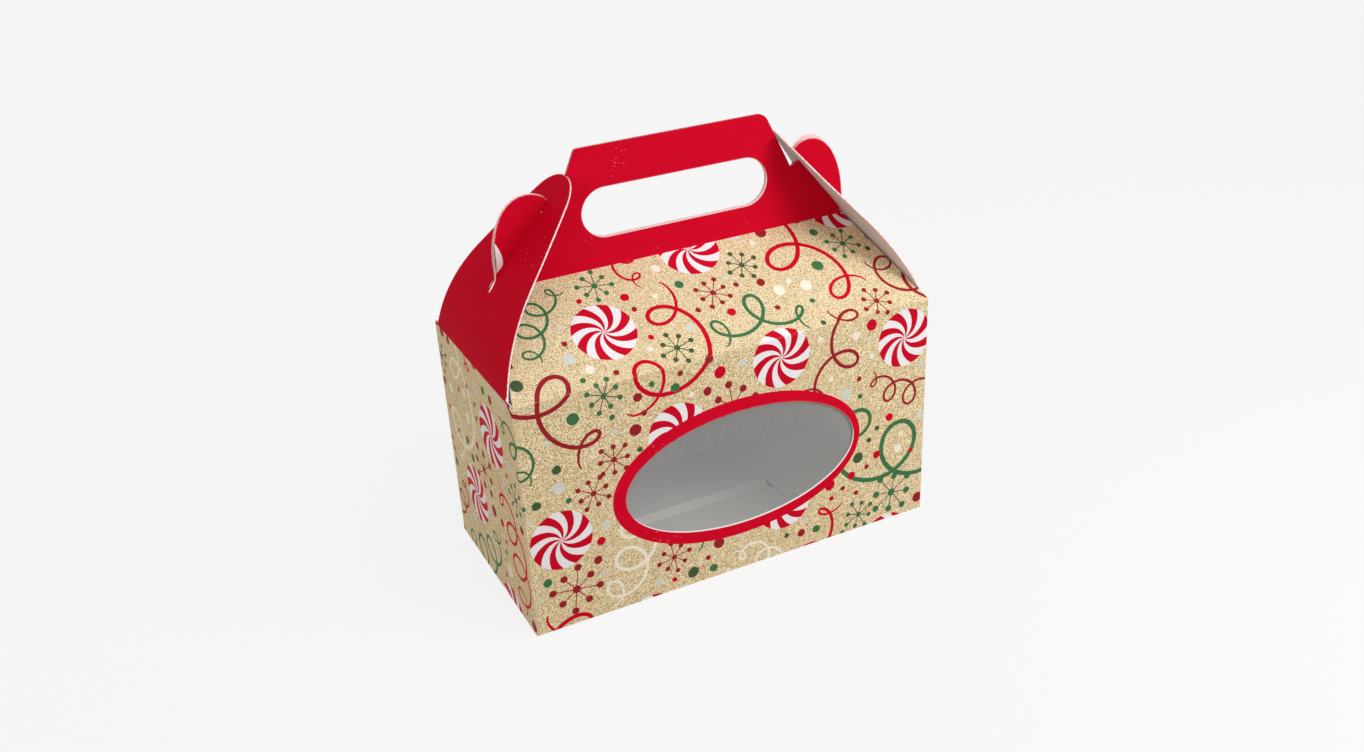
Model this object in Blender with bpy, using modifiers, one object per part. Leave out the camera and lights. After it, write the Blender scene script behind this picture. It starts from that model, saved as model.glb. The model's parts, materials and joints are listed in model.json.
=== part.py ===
"""Gable carton with a folding handle and an oval window, folded up from one die-cut board blank.

The blank's panels are separate objects, parted along their creases: four walls and a glue flap, two
sloping roof panels that carry a two-layer handle, two end flaps whose slits catch the handle's
hooked ears, four interlocking bottom flaps, and a clear film behind the oval window.

Frame: +X to the right along the front, +Y from the front wall to the back wall, +Z up, with the
origin in the middle of the base. Lengths are in metres and angles in degrees.
"""
import math

import bpy
import bmesh
from mathutils import Vector

# Carton body
BOX_WIDTH = 0.2100
BOX_DEPTH = 0.1030
WALL_HEIGHT = 0.1161
ROOF_RISE = 0.0307
BOARD = 0.0006
GAP = 0.0003
RELIEF = 0.0015

# Oval window and its film
WINDOW_WIDTH = 0.1202
WINDOW_HEIGHT = 0.0592
WINDOW_CENTRE_RISE = 0.0554
WINDOW_SHIFT = 0.0031
FILM_BORDER = 0.0070
FILM = 0.0002

# End flaps: the lean is measured from upright, towards the middle of the box
FLAP_LENGTH = 0.0934
FLAP_BEND_LENGTH = 0.0455
FLAP_LEAN_AT_CREASE = 17.0
FLAP_LEAN_AT_TOP = 39.5
FLAP_TIP_RADIUS = 0.0180
FLAP_CREASE_INSET = 0.0044
FLAP_SIDE_TAPER = 0.234
FLAP_TIP_ANGLE = 26.0
SLIT_ABOVE_RIDGE = 0.0006
SLIT_LENGTH = 0.0400

# Handle panels: the insets run from the planes of the end walls
HANDLE_HEIGHT = 0.0563
HANDLE_TOP_INSET = 0.0573
HANDLE_CORNER_RADIUS = 0.0055
HAND_HOLE_INSET = 0.0582
HAND_HOLE_HEIGHT = 0.0229
HAND_HOLE_RISE = 0.0143
NOTCH_REACH = 0.0039
NOTCH_DROP = 0.0011
NOTCH_RADIUS = 0.0012

# Hooked ears of the handle panels
HOOK_LENGTH = 0.0055
EAR_CROWN = 0.0048
EAR_SIDE_INSET = 0.0012
EAR_CROWN_SHARE = 0.36
EAR_SHOULDER_SHARE = 0.62
EAR_SIDE_SHARE = 0.55
EAR_TAIL_SHARE = 0.32
HOOK_NOSE_SHARE = 0.45

# Glue flap inside the back wall
GLUE_FLAP_WIDTH = 0.0140
GLUE_FLAP_TAPER = 0.0040

# Interlocking bottom flaps
BOTTOM_FRONT_REACH = 0.0560
BOTTOM_SHOULDER = 0.0120
TONGUE_WIDTH = 0.0960
TONGUE_RAMP = 0.0040
TONGUE_LENGTH = 0.0140
TONGUE_CORNER_RADIUS = 0.0050
BOTTOM_LAYERS = 3
BOTTOM_BACK_REACH = 0.0600
BOTTOM_NOTCH_CLEARANCE = 0.0015
BOTTOM_SIDE_REACH = 0.0480
BOTTOM_SIDE_FRONT_TAPER = 0.0300
BOTTOM_SIDE_BACK_TAPER = 0.0120

# Smoothness of the round stretches
ELLIPSE_STEPS = 96
ARC_STEPS = 12
BEND_STEPS = 12
STRAIGHT_STEPS = 4
EDGE_STEPS = 12
CURVE_STEPS = 10
SEARCH_STEPS = 40

# Places worked out from the sizes above
HANDLE_TOP_WIDTH = BOX_WIDTH - 2 * HANDLE_TOP_INSET
HAND_HOLE_LENGTH = BOX_WIDTH - 2 * HAND_HOLE_INSET
RIDGE_HALF_GAP = GAP / 2
RIDGE_HEIGHT = WALL_HEIGHT + ROOF_RISE
RIDGE_CREASE_Y = BOARD + RIDGE_HALF_GAP
ROOF_ANGLE = math.atan2(ROOF_RISE, BOX_DEPTH / 2 - RIDGE_CREASE_Y)
ROOF_LENGTH = math.hypot(ROOF_RISE, BOX_DEPTH / 2 - RIDGE_CREASE_Y)
LEAN_LOW = math.radians(FLAP_LEAN_AT_CREASE)
LEAN_HIGH = math.radians(FLAP_LEAN_AT_TOP)
BEND_RADIUS = FLAP_BEND_LENGTH / (LEAN_HIGH - LEAN_LOW)
PANEL_INSET = BOARD + GAP
LAYER_PITCH = BOARD + GAP

KRAFT = (0.620, 0.440, 0.260, 1.0)
RED = (0.560, 0.004, 0.016, 1.0)
FILM_COLOUR = (0.900, 0.920, 0.940, 1.0)


def clear_scene():
    """Empties the file of every object."""
    for old in list(bpy.data.objects):
        bpy.data.objects.remove(old, do_unlink=True)


def board_material(name, colour, roughness, alpha=1.0):
    """A plain Principled material in the part's colour."""
    material = bpy.data.materials.new(name)
    material.use_nodes = True
    shader = material.node_tree.nodes["Principled BSDF"]
    shader.inputs["Base Color"].default_value = colour
    shader.inputs["Roughness"].default_value = roughness
    shader.inputs["Metallic"].default_value = 0.0
    shader.inputs["Alpha"].default_value = alpha
    material.diffuse_color = (*colour[:3], alpha)
    return material


def link(obj, material, parent=None, location=(0, 0, 0), rotation=(0, 0, 0)):
    """Puts an object into the carton's collection, on its parent, with its material."""
    CARTON.objects.link(obj)
    obj.data.materials.append(material)
    obj.parent = parent
    obj.location = location
    obj.rotation_euler = rotation
    return obj


def axis_empty(name, location, parent=None):
    """An empty that marks a crease: the piece that folds there hangs on it."""
    empty = bpy.data.objects.new(name, None)
    CARTON.objects.link(empty)
    empty.parent = parent
    empty.location = location
    return empty


def flat_board(name, outlines, thickness, **placing):
    """A flat panel: a filled 2D curve, whose first outline is its edge and the others its holes."""
    curve = bpy.data.curves.new(name, "CURVE")
    curve.dimensions = "2D"
    curve.fill_mode = "BOTH"
    curve.extrude = thickness / 2
    for outline in outlines:
        spline = curve.splines.new("POLY")
        spline.points.add(len(outline) - 1)
        for point, (u, v) in zip(spline.points, outline):
            point.co = (u, v, 0, 1)
        spline.use_cyclic_u = True
    return link(bpy.data.objects.new(name, curve), **placing)


def bent_board(name, rows, place, slit=None, **placing):
    """A board bent along straight lines: rows of points across it, thickened to its inner side.

    Each row is (run, rise, half width), place turns (run, across, rise) into a point, and a slit
    is (its first row, its last row, its half width).
    """
    mesh = bpy.data.meshes.new(name)
    grid = bmesh.new()
    lines = []
    for run, rise, half in rows:
        across = (-half, half) if slit is None else (-half, -slit[2], slit[2], half)
        lines.append([grid.verts.new(place(run, side, rise)) for side in across])
    for row, (lower, upper) in enumerate(zip(lines, lines[1:])):
        for column in range(len(lower) - 1):
            if slit and column == 1 and slit[0] <= row < slit[1]:
                continue
            grid.faces.new((lower[column], lower[column + 1], upper[column + 1], upper[column]))
    grid.to_mesh(mesh)
    grid.free()
    obj = link(bpy.data.objects.new(name, mesh), **placing)
    shell = obj.modifiers.new("board", "SOLIDIFY")
    shell.thickness = BOARD
    shell.offset = -1
    shell.use_even_offset = True
    return obj


def arc(centre, radius, start, end, steps=ARC_STEPS):
    """Points on a circle, from one angle in degrees to another."""
    angles = [math.radians(start + (end - start) * k / steps) for k in range(steps + 1)]
    return [(centre[0] + radius * math.cos(a), centre[1] + radius * math.sin(a)) for a in angles]


def bezier(first, pull_first, pull_last, last, steps=CURVE_STEPS):
    """Points on a cubic curve, without its first point."""
    points = []
    for k in range(1, steps + 1):
        t = k / steps
        weights = ((1 - t) ** 3, 3 * t * (1 - t) ** 2, 3 * t * t * (1 - t), t ** 3)
        corners = (first, pull_first, pull_last, last)
        points.append(tuple(sum(w * c[i] for w, c in zip(weights, corners)) for i in (0, 1)))
    return points


def rounded_corner(before, corner, after, radius):
    """Points of the arc that rounds a corner between two straight edges."""
    corner = Vector(corner)
    back = (Vector(before) - corner).normalized()
    ahead = (Vector(after) - corner).normalized()
    half = back.angle(ahead) / 2
    middle = corner + (back + ahead).normalized() * radius / math.sin(half)
    first = corner + back * radius / math.tan(half)
    last = corner + ahead * radius / math.tan(half)
    points = []
    for k in range(ARC_STEPS + 1):
        spoke = (first - middle).lerp(last - middle, k / ARC_STEPS).normalized()
        points.append(tuple(middle + spoke * radius))
    return points


def mirrored(half_outline):
    """Closes the right half of an outline with its mirror image."""
    return half_outline + [(-u, v) for u, v in reversed(half_outline)]


def flap_point(run, inset=0.0):
    """Where an end flap is, at a run up its outer face: inwards from the wall, and up from the eave.

    An inset moves the point from the outer face towards the inside, square to the board.
    """
    lean = LEAN_LOW + min(run, FLAP_BEND_LENGTH) / BEND_RADIUS
    straight = max(run - FLAP_BEND_LENGTH, 0)
    inward = BEND_RADIUS * (math.cos(LEAN_LOW) - math.cos(lean)) + straight * math.sin(lean)
    rise = BEND_RADIUS * (math.sin(lean) - math.sin(LEAN_LOW)) + straight * math.cos(lean)
    return inward + inset * math.cos(lean), rise - inset * math.sin(lean)


def run_at_rise(rise, inset=0.0):
    """The run up the flap at which its face, moved by the inset, is at a height above the eave."""
    low, high = 0.0, FLAP_LENGTH
    for _ in range(SEARCH_STEPS):
        middle = (low + high) / 2
        if flap_point(middle, inset)[1] < rise:
            low = middle
        else:
            high = middle
    return low


def side_point(run, inset=0.0):
    """A point of the right end flap in the plane of the handle: across, and up from the base."""
    inward, rise = flap_point(run, inset)
    return BOX_WIDTH / 2 - inward, WALL_HEIGHT + rise


def flap_half_width(run):
    """Half the end flap's width: a bowed side that runs smoothly into a round tip."""
    tip_angle = math.radians(FLAP_TIP_ANGLE)
    tip_centre = FLAP_LENGTH - FLAP_TIP_RADIUS
    meet = tip_centre + FLAP_TIP_RADIUS * math.sin(tip_angle)
    if run >= meet:
        return math.sqrt(max(FLAP_TIP_RADIUS ** 2 - (run - tip_centre) ** 2, 0))
    t = run / meet
    start_slope, end_slope = -FLAP_SIDE_TAPER * meet, -math.tan(tip_angle) * meet
    return (
        (2 * t ** 3 - 3 * t ** 2 + 1) * (BOX_DEPTH / 2 - FLAP_CREASE_INSET)
        + (t ** 3 - 2 * t ** 2 + t) * start_slope
        + (3 * t ** 2 - 2 * t ** 3) * FLAP_TIP_RADIUS * math.cos(tip_angle)
        + (t ** 3 - t ** 2) * end_slope
    )


SLIT_START = run_at_rise(ROOF_RISE) + SLIT_ABOVE_RIDGE
SLIT_END = SLIT_START + SLIT_LENGTH
SLIT_HALF_WIDTH = BOARD + RIDGE_HALF_GAP + GAP
EAR_START = SLIT_START + GAP
EAR_END = SLIT_END - GAP


def make_walls():
    """Four upright walls, with the oval window in the front one and the film glued behind it."""
    face_top = WALL_HEIGHT - BOARD * math.cos(ROOF_ANGLE) - GAP
    end_top = WALL_HEIGHT - BOARD * math.sin(LEAN_LOW) - GAP
    wall = [(BOX_WIDTH / 2, 0), (BOX_WIDTH / 2, face_top)]
    window = [
        (
            WINDOW_SHIFT + WINDOW_WIDTH / 2 * math.cos(math.tau * k / ELLIPSE_STEPS),
            WINDOW_CENTRE_RISE + WINDOW_HEIGHT / 2 * math.sin(math.tau * k / ELLIPSE_STEPS),
        )
        for k in range(ELLIPSE_STEPS)
    ]
    upright = (math.pi / 2, 0, 0)
    face_y = BOX_DEPTH / 2 - BOARD / 2
    flat_board(
        "front_wall", [mirrored(wall), window], BOARD,
        material=KRAFT_BOARD, location=(0, -face_y, 0), rotation=upright,
    )
    flat_board(
        "back_wall", [mirrored(wall)], BOARD,
        material=KRAFT_BOARD, location=(0, face_y, 0), rotation=upright,
    )
    end_half = BOX_DEPTH / 2 - PANEL_INSET
    end = [(end_half, 0), (end_half, end_top)]
    end_x = BOX_WIDTH / 2 - BOARD / 2
    for name, side in (("left_wall", -1), ("right_wall", 1)):
        flat_board(
            name, [mirrored(end)], BOARD,
            material=KRAFT_BOARD, location=(side * end_x, 0, 0),
            rotation=(math.pi / 2, 0, math.pi / 2),
        )
    film_half = WINDOW_WIDTH / 2 + FILM_BORDER
    film_low = WINDOW_CENTRE_RISE - WINDOW_HEIGHT / 2 - FILM_BORDER
    film_high = WINDOW_CENTRE_RISE + WINDOW_HEIGHT / 2 + FILM_BORDER
    flat_board(
        "window_film", [mirrored([(film_half, film_low), (film_half, film_high)])], FILM,
        material=CLEAR_FILM, rotation=upright,
        location=(WINDOW_SHIFT, -(BOX_DEPTH / 2 - PANEL_INSET - FILM / 2), 0),
    )


def make_glue_flap():
    """The narrow flap on the left wall's rear edge, glued inside the back wall."""
    outer = -(BOX_WIDTH / 2 - PANEL_INSET)
    inner = outer + GLUE_FLAP_WIDTH
    low = BOTTOM_LAYERS * LAYER_PITCH
    high = WALL_HEIGHT - 2 * PANEL_INSET
    outline = [
        (outer, low),
        (inner, low + GLUE_FLAP_TAPER),
        (inner, high - GLUE_FLAP_TAPER),
        (outer, high),
    ]
    flat_board(
        "glue_flap", [outline], BOARD, material=KRAFT_BOARD, rotation=(math.pi / 2, 0, 0),
        location=(0, BOX_DEPTH / 2 - PANEL_INSET - BOARD / 2, 0),
    )


def roof_outline():
    """A trapezium from the eave crease to the ridge crease, narrowed to fit between the flaps."""
    eave_half = side_point(run_at_rise(0, PANEL_INSET), PANEL_INSET)[0]
    ridge_half = side_point(run_at_rise(ROOF_RISE, PANEL_INSET), PANEL_INSET)[0]
    return mirrored([
        (eave_half, 0),
        (ridge_half, ROOF_LENGTH - RELIEF),
        (ridge_half - RELIEF, ROOF_LENGTH),
    ])


def hand_hole():
    """The finger hole: a long slot with round ends, measured from the ridge crease."""
    radius = HAND_HOLE_HEIGHT / 2
    centre = (HAND_HOLE_LENGTH / 2 - radius, HAND_HOLE_RISE + radius)
    return mirrored(arc(centre, radius, -90, 90, 2 * ARC_STEPS))


def handle_outline():
    """A handle panel between the end flaps, from the ridge crease up to its rounded top corners."""
    low = run_at_rise(ROOF_RISE + GAP, PANEL_INSET)
    edge = []
    for k in range(EDGE_STEPS + 1):
        across, height = side_point(low + (EAR_END - low) * k / EDGE_STEPS, PANEL_INSET)
        edge.append((across, height - RIDGE_HEIGHT))
    foot = (edge[0][0] - RELIEF, edge[0][1])
    notch = (edge[-1][0] - NOTCH_REACH, edge[-1][1] - NOTCH_DROP)
    notch_arc = arc(notch, NOTCH_RADIUS, 0, -180)
    corner = (HANDLE_TOP_WIDTH / 2, HANDLE_HEIGHT)
    top = rounded_corner(notch_arc[-1], corner, (0, HANDLE_HEIGHT), HANDLE_CORNER_RADIUS)
    return mirrored([foot] + edge[1:] + notch_arc + top)


def ear_outline():
    """The hooked ear of a handle panel, from the inner face of the end flap outwards."""
    def lowered(point):
        return point[0], point[1] - RIDGE_HEIGHT

    root = []
    for k in range(EDGE_STEPS + 1):
        root.append(lowered(side_point(EAR_START + (EAR_END - EAR_START) * k / EDGE_STEPS, BOARD)))
    hook = lowered(side_point(EAR_END, -GAP))
    nose = lowered(side_point(EAR_END + HOOK_LENGTH, -GAP))
    tail = lowered(side_point(EAR_START, -GAP))
    side_across = tail[0] - EAR_SIDE_INSET
    crown = (nose[0] + EAR_CROWN_SHARE * (side_across - nose[0]), nose[1] + EAR_CROWN)
    side = (side_across, tail[1] + EAR_TAIL_SHARE * (crown[1] - tail[1]))
    nose_curve = bezier(
        nose, (nose[0], nose[1] + HOOK_NOSE_SHARE * EAR_CROWN),
        (crown[0] - HOOK_NOSE_SHARE * (crown[0] - nose[0]), crown[1]), crown,
    )
    shoulder = bezier(
        crown, (crown[0] + EAR_SHOULDER_SHARE * (side_across - crown[0]), crown[1]),
        (side_across, side[1] + EAR_SIDE_SHARE * (crown[1] - side[1])), side,
    )
    tail_curve = bezier(
        side, (side_across, tail[1] + EAR_TAIL_SHARE * (side[1] - tail[1])),
        (side_across, tail[1] + EAR_TAIL_SHARE * (side[1] - tail[1])), tail,
    )
    return root + [hook, nose] + nose_curve + shoulder + tail_curve


def make_roof_and_handle(name, facing):
    """A roof panel on its eave crease, and the handle panel and ears on its ridge crease."""
    eave = axis_empty(name + "_eave_crease", (0, -facing * BOX_DEPTH / 2, WALL_HEIGHT))
    slope = (ROOF_ANGLE, 0, 0) if facing > 0 else (ROOF_ANGLE, 0, math.pi)
    sink = Vector((0, facing * math.sin(ROOF_ANGLE), -math.cos(ROOF_ANGLE))) * (BOARD / 2)
    flat_board(
        name + "_roof_panel", [roof_outline()], BOARD,
        material=KRAFT_BOARD, parent=eave, location=sink, rotation=slope,
    )
    to_ridge = (0, facing * (BOX_DEPTH / 2 - RIDGE_CREASE_Y), ROOF_RISE)
    ridge = axis_empty(name + "_ridge_crease", to_ridge, parent=eave)
    upright = dict(location=(0, facing * BOARD / 2, 0), rotation=(math.pi / 2, 0, 0))
    flat_board(
        name + "_handle", [handle_outline(), hand_hole()], BOARD,
        material=RED_BOARD, parent=ridge, **upright,
    )
    for side_name, side in (("left", -1), ("right", 1)):
        outline = [(side * u, v) for u, v in ear_outline()]
        flat_board(
            f"{name}_{side_name}_ear", [outline], BOARD,
            material=RED_BOARD, parent=ridge, **upright,
        )


def flap_runs():
    """Where the rows of an end flap lie: closer in its bend and round its tip."""
    runs = [FLAP_BEND_LENGTH * k / BEND_STEPS for k in range(BEND_STEPS + 1)]
    tip_centre = FLAP_LENGTH - FLAP_TIP_RADIUS
    straight = tip_centre - FLAP_BEND_LENGTH
    runs += [FLAP_BEND_LENGTH + straight * k / STRAIGHT_STEPS for k in range(1, STRAIGHT_STEPS)]
    # the last row stops short of the point of the arc, so that it is wider than the slit
    narrowest = math.acos(2 * SLIT_HALF_WIDTH / FLAP_TIP_RADIUS)
    for k in range(ARC_STEPS + 1):
        runs.append(tip_centre + FLAP_TIP_RADIUS * math.sin(narrowest * k / ARC_STEPS))
    kept = [run for run in runs if min(abs(run - SLIT_START), abs(run - SLIT_END)) > BOARD]
    return sorted(kept + [SLIT_START, SLIT_END])


def make_end_flap(name, side):
    """An end flap that leans in from its eave crease, with the slit that catches both ears."""
    crease = axis_empty(name + "_crease", (side * BOX_WIDTH / 2, 0, WALL_HEIGHT))
    runs = flap_runs()
    rows = [(*flap_point(run), flap_half_width(run)) for run in runs]
    slit = (runs.index(SLIT_START), runs.index(SLIT_END), SLIT_HALF_WIDTH)
    bent_board(
        name, rows, lambda run, across, rise: (-side * run, side * across, rise), slit,
        material=RED_BOARD, parent=crease,
    )


def make_bottom():
    """A snap-lock bottom: back flap over the side flaps, and a front flap whose tongue locks it."""
    hinge_front = -(BOX_DEPTH / 2 - PANEL_INSET)
    hinge_end = BOX_WIDTH / 2 - PANEL_INSET
    shoulder_start = hinge_front + BOTTOM_FRONT_REACH - BOTTOM_SHOULDER
    step_start = hinge_front + BOTTOM_FRONT_REACH
    step_end = step_start + TONGUE_RAMP
    tip = step_end + TONGUE_LENGTH
    top = BOTTOM_LAYERS * LAYER_PITCH
    half = TONGUE_WIDTH / 2
    rows = [
        (hinge_front, 0, hinge_end - GAP),
        (shoulder_start, 0, hinge_end - BOTTOM_SHOULDER),
        (step_start - TONGUE_CORNER_RADIUS, 0, half + TONGUE_CORNER_RADIUS),
        (step_start, 0, half),
        (step_end, top, half),
    ]
    for k in range(ARC_STEPS + 1):
        angle = math.pi / 2 * k / ARC_STEPS
        rows.append((
            tip - TONGUE_CORNER_RADIUS * (1 - math.sin(angle)),
            top,
            half - TONGUE_CORNER_RADIUS * (1 - math.cos(angle)),
        ))
    bent_board(
        "front_bottom_flap", rows, lambda run, across, rise: (-across, run, rise),
        material=KRAFT_BOARD,
    )
    side_level = LAYER_PITCH + BOARD / 2
    hinge_side = BOX_DEPTH / 2 - PANEL_INSET - GAP
    for name, side in (("left_bottom_flap", -1), ("right_bottom_flap", 1)):
        outline = [
            (side * hinge_end, -hinge_side),
            (side * (hinge_end - BOTTOM_SIDE_REACH), -hinge_side + BOTTOM_SIDE_FRONT_TAPER),
            (side * (hinge_end - BOTTOM_SIDE_REACH), hinge_side - BOTTOM_SIDE_BACK_TAPER),
            (side * hinge_end, hinge_side),
        ]
        flat_board(name, [outline], BOARD, material=KRAFT_BOARD, location=(0, 0, side_level))
    notch_half = half + BOTTOM_NOTCH_CLEARANCE
    notch_depth = step_end + BOTTOM_NOTCH_CLEARANCE
    hinge_back = BOX_DEPTH / 2 - PANEL_INSET
    reach = hinge_back - BOTTOM_BACK_REACH
    back = [
        (notch_half - BOTTOM_NOTCH_CLEARANCE, notch_depth),
        (notch_half, notch_depth - BOTTOM_NOTCH_CLEARANCE),
        (notch_half, reach),
        (hinge_end - BOTTOM_SHOULDER, reach),
        (hinge_end - GAP, reach + BOTTOM_SHOULDER),
        (hinge_end - GAP, hinge_back),
    ]
    flat_board(
        "back_bottom_flap", [mirrored(back)], BOARD,
        material=KRAFT_BOARD, location=(0, 0, 2 * LAYER_PITCH + BOARD / 2),
    )


clear_scene()
CARTON = bpy.data.collections.new("gable_carton")
bpy.context.scene.collection.children.link(CARTON)
KRAFT_BOARD = board_material("kraft_board", KRAFT, 0.55)
RED_BOARD = board_material("red_board", RED, 0.42)
CLEAR_FILM = board_material("clear_film", FILM_COLOUR, 0.08, alpha=0.25)

make_walls()
make_glue_flap()
make_roof_and_handle("front", 1)
make_roof_and_handle("back", -1)
make_end_flap("left_end_flap", -1)
make_end_flap("right_end_flap", 1)
make_bottom()
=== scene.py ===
# %% [markdown]
# # A printed gable carton
# A gable carton is one flat sheet of printed board, cut out, creased, glued along one corner and
# folded up. This lesson dresses its measured frame: it lays the same sheet out flat, prints it, and
# folds each panel to its place, so that print and creases run on from panel to panel.

# %% Load the frame
import json
import math

import bpy
import numpy as np
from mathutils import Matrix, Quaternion, Vector, geometry


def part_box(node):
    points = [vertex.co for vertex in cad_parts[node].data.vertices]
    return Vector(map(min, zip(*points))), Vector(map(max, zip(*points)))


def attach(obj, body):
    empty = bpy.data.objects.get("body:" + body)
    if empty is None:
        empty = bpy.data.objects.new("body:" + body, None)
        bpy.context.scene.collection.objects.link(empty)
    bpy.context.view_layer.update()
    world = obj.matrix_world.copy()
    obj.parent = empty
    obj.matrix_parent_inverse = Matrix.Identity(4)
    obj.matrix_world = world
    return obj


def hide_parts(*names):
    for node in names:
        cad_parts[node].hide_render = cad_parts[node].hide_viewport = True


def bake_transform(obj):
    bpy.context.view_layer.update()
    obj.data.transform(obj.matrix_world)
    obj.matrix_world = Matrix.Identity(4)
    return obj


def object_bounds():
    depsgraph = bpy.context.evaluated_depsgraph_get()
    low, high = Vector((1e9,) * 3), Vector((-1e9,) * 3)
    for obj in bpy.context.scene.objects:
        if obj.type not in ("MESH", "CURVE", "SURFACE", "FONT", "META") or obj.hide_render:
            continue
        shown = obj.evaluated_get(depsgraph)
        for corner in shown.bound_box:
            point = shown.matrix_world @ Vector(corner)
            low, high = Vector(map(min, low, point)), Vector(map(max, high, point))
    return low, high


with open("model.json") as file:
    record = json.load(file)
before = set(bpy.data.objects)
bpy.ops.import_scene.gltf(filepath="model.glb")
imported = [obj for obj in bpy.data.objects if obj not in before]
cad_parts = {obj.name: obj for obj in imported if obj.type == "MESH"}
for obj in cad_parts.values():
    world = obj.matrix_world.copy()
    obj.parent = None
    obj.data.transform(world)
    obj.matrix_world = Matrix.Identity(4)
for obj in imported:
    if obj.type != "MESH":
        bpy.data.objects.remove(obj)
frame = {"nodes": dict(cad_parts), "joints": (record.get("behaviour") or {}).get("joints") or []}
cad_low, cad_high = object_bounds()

MM = 0.001
print("frame", [round(v, 4) for v in cad_low], [round(v, 4) for v in cad_high])

# %% [markdown]
# ## Sizes
# The frame already says how big everything is. The front wall gives the width, the thickness of the
# board and where the front is, and the hinges lie exactly on the creases.

# %% Read the sizes from the frame
joint_at = {joint["name"]: Vector(joint["pos_m"]) for joint in frame["joints"]}
wall_low, wall_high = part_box("front_wall")
WIDTH = wall_high.x - wall_low.x
DEPTH = 2 * abs(wall_low.y)
BOARD = wall_high.y - wall_low.y
EAVE = joint_at["front_roof_crease"].z
RIDGE = joint_at["front_handle_crease"].z
RIDGE_Y = abs(joint_at["front_handle_crease"].y)
ROOF_LENGTH = math.hypot(DEPTH / 2 - RIDGE_Y, RIDGE - EAVE)
ROOF_ANGLE = math.atan2(RIDGE - EAVE, DEPTH / 2 - RIDGE_Y)
print(f"carton {WIDTH:.4f} x {DEPTH:.4f}, eave at {EAVE:.4f}, ridge at {RIDGE:.4f}, board {BOARD:.4f}")

# %% [markdown]
# ## The flat blank
# On the flat sheet a point has two coordinates: `a` runs round the carton from the middle of the
# front wall, and `b` runs up from the base, over the eave, the roof and the handle. Every panel is
# cut out in these coordinates and has a fold: a function from (a, b) to its place in space.
#
# The walls come first. Board never lies quite flat, so a wall also bulges by a third of a
# millimetre, and its corners are folded round and not sharp.

# %% Fold of a wall
CORNER_RADIUS = 0.9 * MM
WALL_BOW = 0.35 * MM
RIDGE_B = EAVE + ROOF_LENGTH


def dome(a, b, middle, half_a, low, high):
    """A soft bulge from 0 at the rim to 1 in the middle: one minus the square of the distance
    from the middle line, across times up, and never below zero."""
    across = np.clip(1 - ((a - middle) / half_a) ** 2, 0, 1)
    up = np.clip(1 - ((2 * b - low - high) / (high - low)) ** 2, 0, 1)
    return across * up


def wall_fold(a, b, middle, half, turn):
    """A wall: straight between its corners, where it runs into the first half of a round corner.

    The share of the radius that a point lies past the straight part is its share of the half
    corner's turn. The wall is worked out as if it faced forwards and is then turned about the
    middle of the carton.
    """
    reach = WIDTH / 2 + DEPTH / 2 - half
    s = a - middle
    past = np.clip(np.abs(s) - (half - CORNER_RADIUS), 0, None)
    angle = past / CORNER_RADIUS * math.pi / 4
    x = np.sign(s) * (np.minimum(np.abs(s), half - CORNER_RADIUS) + CORNER_RADIUS * np.sin(angle))
    y = -reach + CORNER_RADIUS * (1 - np.cos(angle))
    y = y - WALL_BOW * dome(a, b, middle, half, 0, EAVE)
    c, d = math.cos(turn), math.sin(turn)
    return np.stack([c * x - d * y, d * x + c * y, b + 0 * a], 1)


print(f"the blank is {RIDGE_B * 1000:.1f} mm long up to its ridge crease")

# %% [markdown]
# A crease is a line pressed into the board, and the board bends round it in a small arc. The roof
# has two: at the eave it turns in over the box, and at the ridge it turns up into the handle.

# %% Fold of the roof
CREASE_RADIUS = 0.9 * MM
CREASE_LEG = 1.0 * MM
ROOF_BOW = 0.30 * MM


def as_is(points):
    """Leaves points as they are."""
    return points


def facing_back(points):
    """Turns points of the front half of the carton half round, to the back."""
    return points * (-1, -1, 1)


def crease_arc(b, crease_b, turn):
    """Runs along a rounded crease, seen from its side: how far on, and how far aside.

    Before the crease the line runs straight, then it follows an arc of the crease radius through
    the turn, and after it the line runs straight again. The arc stands in for the two tangents
    that it rounds off, so both ends stay where a sharp fold would put them. A negative turn bends
    the other way.
    """
    half = CREASE_RADIUS * math.tan(abs(turn) / 2)
    s = b - crease_b + half
    arc_length = CREASE_RADIUS * abs(turn)
    scale = arc_length / (2 * half)
    on_arc = np.clip(s, 0, 2 * half) * scale
    angle = on_arc / CREASE_RADIUS
    after = np.clip(s - 2 * half, 0, None)
    on = np.minimum(s, 0) - half + CREASE_RADIUS * np.sin(angle) + after * math.cos(turn)
    aside = CREASE_RADIUS * (1 - np.cos(angle)) + after * math.sin(abs(turn))
    return on, aside * math.copysign(1, turn)


def roof_fold(a, b):
    """The front roof with both its creases: up the wall, in over the eave and up the handle.

    The eave turns the line inwards from upright to the roof's slope, and the ridge turns it back.
    """
    lean = math.pi / 2 - ROOF_ANGLE
    on, aside = crease_arc(b, EAVE, lean)
    eave_side = np.stack([a, -DEPTH / 2 + aside, EAVE + on], 1)
    on, aside = crease_arc(b, RIDGE_B, -lean)
    slope = np.array([0, math.cos(ROOF_ANGLE), math.sin(ROOF_ANGLE)])
    normal = np.array([0, -math.sin(ROOF_ANGLE), math.cos(ROOF_ANGLE)])
    ridge = np.array([0, -RIDGE_Y, RIDGE])
    ridge_side = ridge + on[:, None] * slope - aside[:, None] * normal
    ridge_side[:, 0] = a
    lower = (b < (EAVE + RIDGE_B) / 2)[:, None]
    bulge = ROOF_BOW * dome(a, b, 0, WIDTH / 2, EAVE, RIDGE_B)
    return np.where(lower, eave_side, ridge_side) + bulge[:, None] * normal


print(f"the roof slopes at {math.degrees(ROOF_ANGLE):.1f} degrees")

# %% [markdown]
# The outlines of the panels are in the frame already: each panel is a solid there. Only its outer
# face is wanted, and of that face only the edges that have no neighbour.

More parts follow.
